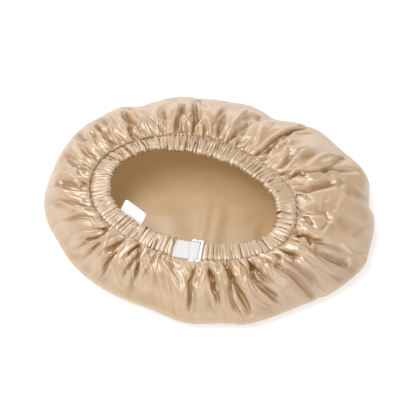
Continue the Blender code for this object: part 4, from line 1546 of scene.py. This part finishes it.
    def _pucker(self, drape: Drape) -> None:
        """Gives the cloth beside the seam the casing's pleats, which fade out at uneven lengths."""
        rows, columns = drape.points.shape[:2]
        angle = round_angles(columns)
        gathers = self.layout.gathers()
        place = self.layout.turned(angle)
        index, _ = gathers.phase(place)
        reaches = np.random.default_rng(12).uniform(*self.pucker_reach, len(gathers.heights)) * MM
        wave = (gathers.wave(place) - 0.45) * (1 - self.layout.plainness(angle))
        wide = self.layout.rim(angle) - self.layout.seam(angle)
        share = self._meridian(rows)[:, :1]
        fade = 1 - smooth(share * wide / reaches[index])
        lift = self.pucker * wave * fade
        beads = gathers.wave(place, 1.0) * (1 - self.layout.plainness(angle)) * self.bead
        beads = beads * (1 + 0.9 * Mottle(120, 2, 14)(angle, 0.0))
        inwards = beads * np.exp(-(((share * wide - 2.2 * MM) / (1.6 * MM)) ** 2)) * (drape.free > 0)
        before = spans_around(drape.points)
        drape.points[..., 2] += lift
        centre = np.array([self.layout.centre_x, self.layout.centre_y])
        out = drape.points[..., :2] - centre
        drape.points[..., :2] -= out / np.linalg.norm(out, axis=-1, keepdims=True) * inwards[..., None]
        after = spans_around(drape.points)
        drape.around *= np.clip(after / before, 1.0, 2.0)
        drape.start = drape.points.copy()

    def _pattern(self, top: np.ndarray) -> np.ndarray:
        """Where each point lies on the flat cloth, from its middle."""
        plain, _ = self._plain(top)
        gone = travelled(spans_down(plain).mean(axis=1))
        edge = top[-1, :, :2] - top[-1, :, :2].mean(axis=0)
        reach = np.linalg.norm(edge, axis=1)
        return edge / reach[:, None] * (reach + (gone[-1] - gone)[:, None])[..., None]

    @staticmethod
    def _hollows(top: np.ndarray) -> np.ndarray:
        """How far each point stands over the plain surface, in units of 3 mm and from -1 to 1; the satin
        paints shade where it is low.
        """
        plain, normal = CrownCloth._plain(top)
        return np.clip(((top - plain) * normal).sum(-1) / (3 * MM), -1, 1)

    def _floor(self, edge: np.ndarray) -> tuple[np.ndarray, list[list[int]]]:
        """The part that lies on the floor, with the soft ridges that show inside.

        Args:
            edge: the loop of points that it hangs on, which come first among its own points.

        Returns:
            Its points, and its triangles.
        """
        low, high = edge.min(axis=0), edge.max(axis=0)
        step = self.floor_step
        x, y = np.meshgrid(np.arange(low[0], high[0], step), np.arange(low[1], high[1], step * 0.866))
        x = x + step / 2 * (np.arange(len(x)) % 2)[:, None]
        middle = edge.mean(axis=0)
        turn = np.arctan2(edge[:, 1] - middle[1], edge[:, 0] - middle[0])
        order = np.argsort(turn)
        reach = np.hypot(edge[:, 0] - middle[0], edge[:, 1] - middle[1])
        here = np.arctan2(y - middle[1], x - middle[0])
        limit = np.interp(here, turn[order], reach[order], period=2 * np.pi)
        inside = np.hypot(x - middle[0], y - middle[1]) < limit - step * 0.8
        flat = np.stack([x[inside], y[inside]], axis=1)
        count = len(edge)
        loop = [(i, (i + 1) % count) for i in range(count)]
        plan = [Vector(p) for p in np.concatenate([edge[:, :2], flat])]
        made, _, faces, *_ = mathutils.geometry.delaunay_2d_cdt(plan, loop, [], 1, 1e-9)
        points = np.array([[p.x, p.y, edge[0, 2]] for p in made])
        for ridge in RIDGES:
            start, end = np.array(ridge[:2]) * MM, np.array(ridge[2:4]) * MM
            way = end - start
            length = np.linalg.norm(way)
            way /= length
            gap = points[:, :2] - start
            along = gap @ way / length
            aside = (gap[:, 0] * way[1] - gap[:, 1] * way[0]) / (ridge.width * MM)
            ends = smooth(along / 0.4) * (1 - smooth((along - 0.75) / 0.4))
            points[:, 2] += ridge.height * MM * ends * np.exp(-(aside**2))
        points[:count] = edge
        return points, faces

    def build(self) -> bpy.types.Object:
        """Builds and dresses the crown."""
        began = time.time()
        top = self._settled()
        top[..., 2] = np.maximum(top[..., 2], self.off_floor)
        LOG.info("settled in %.1f s", time.time() - began)
        # Painted shade: the relief attribute darkens the satin's colour where the cloth lies in a fold's
        # hollow.
        numbers = {"relief": self._hollows(top)[:, ::-1]}
        crown = grid_object("crown_cloth", top[:, ::-1], around=True, numbers=numbers)
        edge = top[-1, ::-1]
        floor, faces = self._floor(edge)
        wall = self._pattern(top)[:, ::-1].reshape(-1, 2)
        flat = np.concatenate([wall, floor[len(edge) :, :2] - edge.mean(axis=0)[:2]])
        first = (len(top) - 1) * top.shape[1]
        with edited(crown) as bm:
            verts = [bm.verts[first + i] for i in range(len(edge))]
            verts += [bm.verts.new(p) for p in floor[len(edge) :]]
            for face in faces:
                bm.faces.new([verts[i] for i in face])
            bmesh.ops.recalc_face_normals(bm, faces=bm.faces)
        crown.data.shade_smooth()
        store(crown, warp=flat[:, 0], weft=flat[:, 1])
        dress(crown, Finish.SATIN, "champagne_satin", "satin_crown")
        return crown


@dataclass
class PleatedCasing:
    """The casing: a tunnel of satin round the elastic, gathered along it, open at the gap in front.

    core is the room kept for the elastic, lining and tallest how far off it the cloth lies, and slit how
    much the valleys between pleats are deepened. scallop is how far the pleats move its edges.
    """

    layout: Layout
    rows: int = 1880
    section: int = 26
    cross_pleats: int = 67
    core: float = 0.75 * MM
    tallest: float = 4.6 * MM
    lining: float = 1.85 * MM
    first_pleat: float = 3.0 * MM
    large_share: float = 0.7
    edge_ruffle: float = 1.4 * MM
    seam_ruffle: float = 1.4 * MM
    bend_ruffle: float = 1.6 * MM
    lean_deg: float = 3.2
    play: float = 3.2 * MM
    coarse: tuple[int, int] = (940, 20)
    step: float = 0.4 * MM
    # dark_below is the depth scale for the painted shade in the valleys between pleats.
    dark_below: float = 0.45 * MM
    gathered: float = 1.12
    slit: float = 2.5
    scallop: float = 1.1 * MM

    def _angles(self, rows: int) -> np.ndarray:
        """The rows' angles, evenly along the band."""
        fine = np.linspace(self.layout.gap_end, self.layout.gap_start + 360, 800)
        frame = self.layout.band(fine)
        middle = frame.point(self.layout.band_width / 2, 0.0)
        gone = travelled(spans_down(middle))
        return np.interp(np.linspace(0, gone[-1], rows), gone, fine)

    def _section(self, columns: int) -> tuple[np.ndarray, np.ndarray]:
        """Shares across the band, and sides from 1 above to -1 below, round the tunnel."""
        turn = np.arange(columns) / columns * 2 * np.pi
        share = np.abs(np.mod(turn / np.pi + 1, 2) - 1)
        return 0.5 * share + 0.5 * smooth(share), np.clip(np.sin(turn) * 2.4, -1, 1)

    def _rough(self, angle: np.ndarray, columns: int, pleated: float) -> np.ndarray:
        """The tunnel before it settles, rows along the band by columns round it."""
        frame = self.layout.band(angle)
        share, side = self._section(columns)
        start, end = self.layout.gap_end, self.layout.gap_start + 360
        above = self.layout.gathers()
        second = Pleats.uneven(start, end, int(self.layout.pleats * 1.13), 0.6, 29, self.layout.finer)
        below = Pleats.uneven(start, end, self.layout.pleats, self.layout.unevenness, 17, self.layout.finer)
        large = Pleats.uneven(start, end, self.cross_pleats, 0.6, 8)
        sway, tall, ruffle = Mottle(70, 5, 3), Mottle(110, 6, 4), Mottle(90, 2, 6)
        far, aside = np.sin(np.radians(angle)), np.abs(np.cos(np.radians(angle)))
        crumpled = 0.55 + 0.45 * smooth(0.35 + 0.8 * far + 0.5 * aside)
        width = self.layout.band_width
        grid = []
        for k in range(columns):
            lean = self.lean_deg * crumpled * share[k] * sway(angle, share[k])
            own = (above if side[k] >= 0 else below).crests(angle + lean)
            if side[k] >= 0:
                mixed = np.clip(1.6 * crumpled - 0.4, 0, 1)
                mixed = mixed * smooth((share[k] - 0.3 - 0.15 * sway(angle, 0.0)) / 0.25)
                own = own + (second.crests(angle + 0.5 * lean) - own) * mixed
            own = own - 0.5
            own = own * (1 + 0.7 * crumpled * tall(angle, share[k]))
            own = own + self.large_share * (large.wave(angle - 1.5 * lean) - 0.5)
            own = own + 0.5 * crumpled * share[k] * tall(angle + 60, share[k])
            dent = crumpled * np.exp(-(((share[k] - 0.45 - 0.12 * sway(angle, 0.0)) / 0.09) ** 2))
            off = (self.lining * (1 - 0.6 * dent * pleated) + self.first_pleat * pleated * own) * side[k]
            edge = self.first_pleat * pleated * own * share[k] ** 6
            edge = edge + self.edge_ruffle * pleated * crumpled * share[k] ** 4 * ruffle(angle, share[k])
            seam = self.seam_ruffle * pleated * (above.wave(angle) - 0.4) * (1 - share[k]) ** 6
            bend = self.bend_ruffle * pleated * crumpled * share[k] ** 2 * ruffle(angle + 97, share[k])
            grid.append(frame.point(share[k] * width + edge, off + seam + bend))
        return np.stack(grid, axis=1)

    def _settled(self) -> np.ndarray:
        """The tunnel after its gathers have settled."""
        rows, columns = self.coarse
        angle = self._angles(rows)
        plain, marked = self._rough(angle, columns, 0.0), self._rough(angle, columns, 1.0)
        around = spans_around(plain)
        scallop = self.layout.gathers().wave(angle)
        share, _ = self._section(columns)
        around = around * (1.0 + 0.5 * (scallop[:, None] - 0.4) * smooth((share - 0.78) / 0.2))
        chance = np.random.default_rng(9)
        knots = np.arange(0, len(angle), 12)
        uneven = np.interp(np.arange(len(angle) - 1), knots, chance.uniform(0.0, 2.0, len(knots)))
        down = spans_down(marked) * (1 + (self.gathered - 1) * uneven[:, None])
        free = np.ones(plain.shape[:2])
        free[:, 0] = 0.0
        free[0] = 0.0
        free[-1] = 0.0
        drape = Drape(marked, around, down, free, ring=0, kept=12, faint=0.0)
        drape.limit = self._keeper(angle, columns)
        drape.run(steps=90, push=0.01 * MM, stiff=0.02, memory=0.3)
        drape = drape.finer(self.rows, self.section)
        drape.limit = self._keeper(self._angles(self.rows), self.section)
        drape.run(steps=40, push=0.01 * MM, stiff=0.02, memory=0.3)
        return drape.points

    def _keeper(self, angle: np.ndarray, columns: int) -> Callable[[np.ndarray], None]:
        """A limit that keeps the cloth round the elastic and near the band."""
        frame = self.layout.band(angle)
        edge, off, across = frame.edge[:, None], frame.off[:, None], frame.across[:, None]
        share, side = self._section(columns)
        middle = (share > 0.1) & (share < 0.92)
        low = np.where(middle & (side > 0), self.core, -self.tallest)[None]
        high = np.where(middle & (side < 0), -self.core, self.tallest)[None]
        widest = self.layout.band_width + self.play

        def limit(p: np.ndarray) -> None:
            """Moves points back to where they may be."""
            gap = p - edge
            height = (gap * off).sum(-1)
            p += (np.clip(height, low, high) - height)[..., None] * off
            place = (gap * across).sum(-1)
            p += (np.clip(place, 0.1 * MM, widest) - place)[..., None] * across

        return limit

    def build(self) -> bpy.types.Object:
        """Builds and dresses the casing."""
        began = time.time()
        grid = self._settled()
        LOG.info("casing settled in %.1f s", time.time() - began)
        frame = self.layout.band(self._angles(self.rows))
        height = np.abs(((grid - frame.edge[:, None]) * frame.off[:, None]).sum(-1))
        gap = height - averaged(height, 12)
        share, side = self._section(self.section)
        inside = (share > 0.1) & (share < 0.97)
        deeper = np.maximum(height + self.slit * np.minimum(gap - 0.05 * MM, 0.0), self.core)
        deeper = np.where(inside & (height > self.core), deeper - height, 0.0) * np.sign(side)
        scallop = np.clip(gap[:, share > 0.7].mean(axis=1) / self.step, -1, 1)[:, None] * share**4
        beads = gap[:, (share > 0.1) & (share < 0.4)].mean(axis=1)
        beads = np.clip(beads / self.step, -1, 1)[:, None] * (1 - share) ** 3
        wider = self.scallop * (scallop - 0.8 * beads * (share > 0.01))
        grid = grid + deeper[..., None] * frame.off[:, None] + wider[..., None] * frame.across[:, None]
        # Painted shade: relief is below 0 in the valleys between pleats, where the satin's colour is
        # darkened.
        relief = np.clip(gap / self.dark_below - 0.22, -1, 1)
        run = np.linspace(0, 0.95, self.rows)[:, None]
        numbers = {"relief": relief, "warp": run, "weft": share[None, :] * self.layout.band_width}
        casing = grid_object("pleated_casing", grid, around=True, numbers=numbers)
        index = np.arange(self.section)
        cap_loop(casing, index)
        cap_loop(casing, index + (self.rows - 1) * self.section)
        face_out(casing)
        casing.data.shade_smooth()
        dress(casing, Finish.SATIN, "champagne_satin", "gathered_casing")
        return casing


class GapFrame(NamedTuple):
    """The straight stretch of elastic across the gap: its ends, its axes and the slider's middle."""

    start: np.ndarray
    end: np.ndarray
    along: np.ndarray
    across: np.ndarray
    off: np.ndarray
    slider: np.ndarray

    def point(self, along: np.ndarray, across: np.ndarray, off: np.ndarray) -> np.ndarray:
        """Points at distances from the slider's middle."""
        parts = [np.asarray(v)[..., None] for v in (along, across, off)]
        return self.slider + self.along * parts[0] + self.across * parts[1] + self.off * parts[2]


@dataclass
class Fastening:
    """What the elastic and its slider share: their sizes across the gap."""

    layout: Layout
    width: float = 20.0 * MM
    thickness: float = 1.1 * MM
    nearer: float = 0.6 * MM
    slider_half: float = 6.3 * MM
    slider_to_casing: float = 1.1 * MM
    bar_top: float = 1.0 * MM

    def gap(self) -> GapFrame:
        """The frame of the elastic's open stretch."""
        ends = self.layout.band(np.array([self.layout.gap_start, self.layout.gap_end]))
        start, end = ends.point(self.layout.band_width / 2 - self.nearer, 0.0)
        along = (end - start) / np.linalg.norm(end - start)
        across = ends.across.sum(axis=0)
        across -= along * across.dot(along)
        across /= np.linalg.norm(across)
        slider = end - along * (self.slider_to_casing + self.slider_half)
        return GapFrame(start, end, along, across, np.cross(along, across), slider)


@dataclass
class ElasticStrap:
    """The white elastic: a ring through the casing that comes up over the slider's bars."""

    fastening: Fastening
    hidden_width: float = 18.0 * MM
    columns: int = 30
    ribs: int = 11
    rib_height: float = 0.06 * MM

    def _section(self) -> tuple[np.ndarray, np.ndarray]:
        """Shares of the half width and of the half thickness, round the elastic."""
        half = self.columns // 2
        share = np.linspace(-1, 1, half)
        ends = np.sqrt(np.clip(1 - np.abs(share) ** 14, 0, 1)) * 0.85 + 0.15
        return np.concatenate([share, share[::-1]]), np.concatenate([ends, -ends])

    def _route(self) -> tuple[np.ndarray, np.ndarray, np.ndarray, np.ndarray]:
        """Middles, ways across, ways off the face and half widths, once round."""
        f, layout = self.fastening, self.fastening.layout
        gap = f.gap()
        angle = np.linspace(layout.gap_end, layout.gap_start + 360, 320)
        band = layout.band(angle)
        near_mouth = 1 - smooth(np.minimum(angle - angle[0], angle[-1] - angle) / 6.0)
        middle = band.point(layout.band_width / 2 - f.nearer * near_mouth, 0.0)
        wide = self.hidden_width / 2 + (f.width - self.hidden_width) / 2 * near_mouth
        stretch = np.linalg.norm(gap.end - gap.start)
        slider_at = stretch - f.slider_to_casing - f.slider_half
        far = np.linspace(0.6 * MM, stretch - 0.3 * MM, 120)
        along = far - slider_at
        climb = smooth((along + f.slider_half + 0.9 * MM) / (1.1 * MM))
        dip = smooth((along - 1.7 * MM) / (1.4 * MM))
        lift = (f.bar_top + f.thickness / 2 + 0.1 * MM) * climb * (1 - dip) - 0.2 * MM * dip
        sag = 0.25 * MM * np.sin(np.pi * far / stretch)
        bridge = gap.point(along, np.zeros(len(far)), lift - sag * (1 - climb))
        way = np.gradient(bridge, axis=0)
        off = np.cross(way, gap.across)
        off /= np.linalg.norm(off, axis=-1, keepdims=True)
        pinched = 1 - 0.012 * smooth((along + 8 * MM) / (3 * MM))
        return (
            np.concatenate([middle, bridge]),
            np.concatenate([band.across, np.broadcast_to(gap.across, bridge.shape)]),
            np.concatenate([band.off, off]),
            np.concatenate([wide, f.width / 2 * pinched]),
        )

    def build(self) -> bpy.types.Object:
        """Builds and dresses the elastic."""
        middle, across, off, wide = self._route()
        share, side = self._section()
        gone = travelled(spans_down(middle))
        rib = self.rib_height * np.cos(share * np.pi * self.ribs) * np.sign(side) * (np.abs(share) < 0.96)
        frayed = 1 + 0.006 * np.sin(gone / (0.85 * MM))[:, None] * (np.abs(share) > 0.95)
        reach = wide[:, None] * share * frayed
        height = self.fastening.thickness / 2 * side + rib
        grid = middle[:, None] + across[:, None] * reach[..., None] + off[:, None] * height[None, :, None]
        numbers = {"across": reach, "run": np.broadcast_to(gone[:, None], reach.shape)}
        strap = grid_object("elastic_band", np.concatenate([grid, grid[:1]]), around=True, numbers={
            key: np.concatenate([value, value[:1] + (gone[-1] if key == "run" else 0.0)])
            for key, value in numbers.items()
        })
        merge_doubles(strap)
        face_out(strap)
        strap.data.shade_smooth()
        dress(strap, Finish.ELASTIC, "white_elastic", "elastic_strap")
        return strap


@dataclass
class Slider:
    """The slider: two lobed rails, a low bar under the elastic and a raised bar beside its slot."""

    fastening: Fastening
    reach: float = 12.3 * MM
    bottom: float = -1.5 * MM
    top: float = 2.5 * MM
    slot: tuple[float, float] = (1.5 * MM, 3.5 * MM)
    inner_slot: tuple[float, float] = (-4.2 * MM, -1.2 * MM)
    corner: float = 1.9 * MM
    notch: float = 0.9 * MM
    edge: float = 0.45 * MM

    def _lobe(self, left: float, right: float, corner: float) -> list[tuple[float, float]]:
        """Points over the top of one of the rail's lobes, from left to right."""
        points = []
        for middle, start in ((left + corner, 180), (right - corner, 90)):
            for step in range(6):
                turn = math.radians(start - 18 * step)
                up = self.reach - corner + corner * math.sin(turn)
                points.append((middle + corner * math.cos(turn), up))
        return points

    def _outline(self) -> list[tuple[float, float]]:
        """The slider's outline from above."""
        half = self.fastening.slider_half
        upper = self._lobe(-half, -0.35 * MM, self.corner * 0.9) + self._lobe(0.35 * MM, half, self.corner)
        middle = [(0.0, self.reach - self.notch)]
        upper = upper[:12] + middle + upper[12:]
        return upper + [(x, -y) for x, y in upper[::-1]]

    @staticmethod
    def _solid(
        outline: list[tuple[float, float]], low: float, high: float, edge: float
    ) -> bpy.types.Object:
        """An outline given a height, with its upper and lower edges rounded."""
        bm = bmesh.new()
        lower = bm.faces.new([bm.verts.new((x, y, low)) for x, y in outline])
        lifted = bmesh.ops.extrude_face_region(bm, geom=[lower])["geom"]
        upper = [v for v in lifted if isinstance(v, bmesh.types.BMVert)]
        bmesh.ops.translate(bm, vec=(0, 0, high - low), verts=upper)
        bmesh.ops.recalc_face_normals(bm, faces=bm.faces)
        if edge:
            flat = [e for e in bm.edges if abs(e.verts[0].co.z - e.verts[1].co.z) < 1e-7]
            bmesh.ops.bevel(bm, geom=flat, offset=edge, segments=3, affect="EDGES", profile=0.5)
        mesh = bpy.data.meshes.new("slider_solid")
        bm.to_mesh(mesh)
        bm.free()
        return placed("slider_solid", mesh)

    def build(self) -> bpy.types.Object:
        """Builds and dresses the slider."""
        f = self.fastening
        window = f.width / 2 + 0.35 * MM
        body = self._solid(self._outline(), self.bottom, self.top, self.edge)
        half = f.slider_half
        # left, right, half width, bottom and top of each window
        cuts = [
            (self.slot[0], self.slot[1], window, self.bottom - MM, self.top + MM),
            (self.inner_slot[0], self.inner_slot[1], window, self.bottom - MM, self.top + MM),
            (-half - MM, self.slot[1] - 0.2 * MM, window, f.bar_top, self.top + MM),
            (-half - MM, -half + 1.4 * MM, window + 5 * MM, f.bar_top + 0.7 * MM, self.top + MM),
            (self.slot[0], half + MM, window, self.bottom - MM, 0.75 * MM),
        ]
        for left, right, wide, low, high in cuts:
            cutter = self._solid([(left, -wide), (right, -wide), (right, wide), (left, wide)], low, high, 0.0)
            cut = body.modifiers.new("window", "BOOLEAN")
            cut.operation, cut.object, cut.solver = "DIFFERENCE", cutter, "EXACT"
        round_off = body.modifiers.new("edges", "BEVEL")
        round_off.width, round_off.segments, round_off.limit_method = 0.15 * MM, 2, "ANGLE"
        slider = applied(body, "slider")
        gap = f.gap()
        co = np.empty(len(slider.data.vertices) * 3)
        slider.data.vertices.foreach_get("co", co)
        x, y, z = co.reshape(-1, 3).T
        slider.data.vertices.foreach_set("co", gap.point(x, y, z).reshape(-1))
        slider.data.update()
        slider.data.shade_smooth()
        slider.data.set_sharp_from_angle(angle=math.radians(40))
        dress(slider, Finish.PLASTIC, "white_plastic", "slider_buckle")
        return slider


@dataclass
class SideLabel:
    """The blank ribbon label that stands in from the casing's free edge."""

    layout: Layout
    angle: float = 206.0
    rise: float = math.radians(43.0)
    length: float = 31 * MM
    shows: float = 14.5 * MM
    tucked: float = 4.5 * MM
    corner: float = 2.2 * MM
    thickness: float = 0.4 * MM
    below: float = 3.3 * MM
    curl: float = 0.7 * MM

    def build(self) -> bpy.types.Object:
        """Builds and dresses the label."""
        frame = self.layout.band(np.array([self.angle]))
        across, off = frame.across[0], frame.off[0]
        bend = frame.point(self.layout.band_width * 1.05 + 0.45 * MM, -self.below - 0.5 * MM)[0]
        along = np.cross(across, off)
        level = np.cross([0.0, 0.0, 1.0], along)
        level *= math.copysign(1.0, across.dot(level))
        up = level * math.cos(self.rise) + np.array([0.0, 0.0, math.sin(self.rise)])
        face = np.cross(along, up)
        face *= math.copysign(1.0, face[2])
        rows, columns = 34, 60
        place = np.linspace(-self.tucked, self.shows, rows)
        from_corner = np.clip((place - self.shows + self.corner) / self.corner, 0, 1)
        half = self.length / 2 - self.corner * (1 - np.sqrt(1 - from_corner**2))
        share = np.linspace(-1, 1, columns)
        run = half[:, None] * share
        bent = smooth((place + 1.6 * MM) / (3.2 * MM))[:, None, None]
        out = np.clip(place, 0, None)[:, None]
        curl = self.curl * (out / self.shows) ** 2 * (0.6 + 0.8 * share**2)
        curl = curl + 0.12 * MM * np.sin(run / (3.4 * MM))
        flat = bend + along * run[..., None] + across * np.minimum(place, 0)[:, None, None]
        grid = flat + up * out[..., None] + face * (curl * bent[..., 0])[..., None]
        label = grid_object("ribbon_label", grid, numbers={
            "run": run, "across": np.broadcast_to(place[:, None], run.shape),
        })
        wall = label.modifiers.new("cloth", "SOLIDIFY")
        wall.thickness, wall.offset = self.thickness, 0.0
        label = applied(label, "ribbon_label")
        label.data.shade_smooth()
        dress(label, Finish.RIBBON, "white_ribbon", "side_label")
        return label


class LampRow(NamedTuple):
    """A soft box: where it hangs and its two sides, in metres, and its power in watts."""

    name: str
    place: tuple[float, float, float]
    size: tuple[float, float]
    power: float


LAMPS = [
    LampRow("overhead", (-0.45, 0.05, 1.2), (1.3, 0.8), 12.0),
    LampRow("key", (-0.55, -0.35, 1.2), (0.8, 0.45), 3.9),
    LampRow("back_box", (0.0, 1.5, 0.5), (2.4, 0.6), 9.0),
    LampRow("front_box", (0.3, -1.3, 0.8), (2.2, 0.8), 9.5),
    LampRow("left_box", (-1.4, 0.0, 0.6), (0.8, 1.4), 2.0),
    LampRow("right_box", (1.4, 0.1, 0.6), (0.8, 1.4), 3.0),
]


@dataclass
class Studio:
    """A pale floor, soft light and the camera."""

    target: tuple[float, float, float] = (0.0004, -0.0142, 0.027)
    elevation: float = 50.0
    distance: float = 1.25
    lens: float = 99.2
    sensor: float = 36.0
    aside: float = -1.09
    raised: float = 1.64
    floor_reach: float = 6.0
    sky: Colour = Colour(1.0, 0.99, 0.975)
    sky_strength: float = 0.38

    def camera(self) -> None:
        """The camera, at the photograph's angle."""
        data = bpy.data.cameras.new("view")
        data.lens, data.sensor_width = self.lens, self.sensor
        camera = placed("view", data)
        rise = math.radians(self.elevation)
        ahead = Vector((0.0, math.cos(rise), -math.sin(rise)))
        up = Vector((0.0, math.sin(rise), math.cos(rise)))
        shift = Vector((self.aside, 0, 0)) * MM
        camera.location = Vector(self.target) - ahead * self.distance + shift + up * self.raised * MM
        camera.rotation_euler = (math.radians(90 - self.elevation), 0.0, 0.0)
        bpy.context.scene.camera = camera

    @staticmethod
    def lamp(row: LampRow) -> None:
        """Hangs a soft box that faces the bonnet."""
        data = bpy.data.lights.new(row.name, "AREA")
        data.shape = "RECTANGLE"
        data.size, data.size_y = row.size
        data.energy = row.power
        lamp = placed(row.name, data)
        lamp.location = row.place
        lamp.rotation_euler = (-Vector(row.place)).to_track_quat("-Z", "Y").to_euler()

    def floor(self) -> None:
        """The floor."""
        reach = self.floor_reach
        corners = [[(x, y, 0.0) for x in (-reach, reach)] for y in (-reach, reach)]
        floor = grid_object("floor", np.array(corners))
        s = Shading("pale_floor", Roughness=0.8, Specular_IOR_Level=0.1, Emission_Strength=0.5)
        s.shader.inputs["Base Color"].default_value = (0.6, 0.6, 0.6, 1.0)
        s.shader.inputs["Emission Color"].default_value = (1.0, 1.0, 1.0, 1.0)
        floor.data.materials.append(s.material)

    def build(self) -> None:
        """Sets the studio up."""
        self.camera()
        self.floor()
        world = bpy.data.worlds.new("studio")
        world.use_nodes = True
        sky = world.node_tree.nodes["Background"]
        sky.inputs[0].default_value = self.sky.rgba()
        sky.inputs[1].default_value = self.sky_strength
        scene = bpy.context.scene
        scene.world = world
        scene.view_settings.view_transform = "Standard"
        for row in LAMPS:
            self.lamp(row)


def main() -> None:
    """Builds the studio, then the bonnet piece by piece."""
    logging.basicConfig(level=logging.INFO, format="%(message)s")
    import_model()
    Studio().build()
    layout = Layout()
    CrownCloth(layout).build()
    PleatedCasing(layout).build()
    fastening = Fastening(layout)
    ElasticStrap(fastening).build()
    Slider(fastening).build()
    SideLabel(layout).build()


if __name__ == "__main__":
    main()
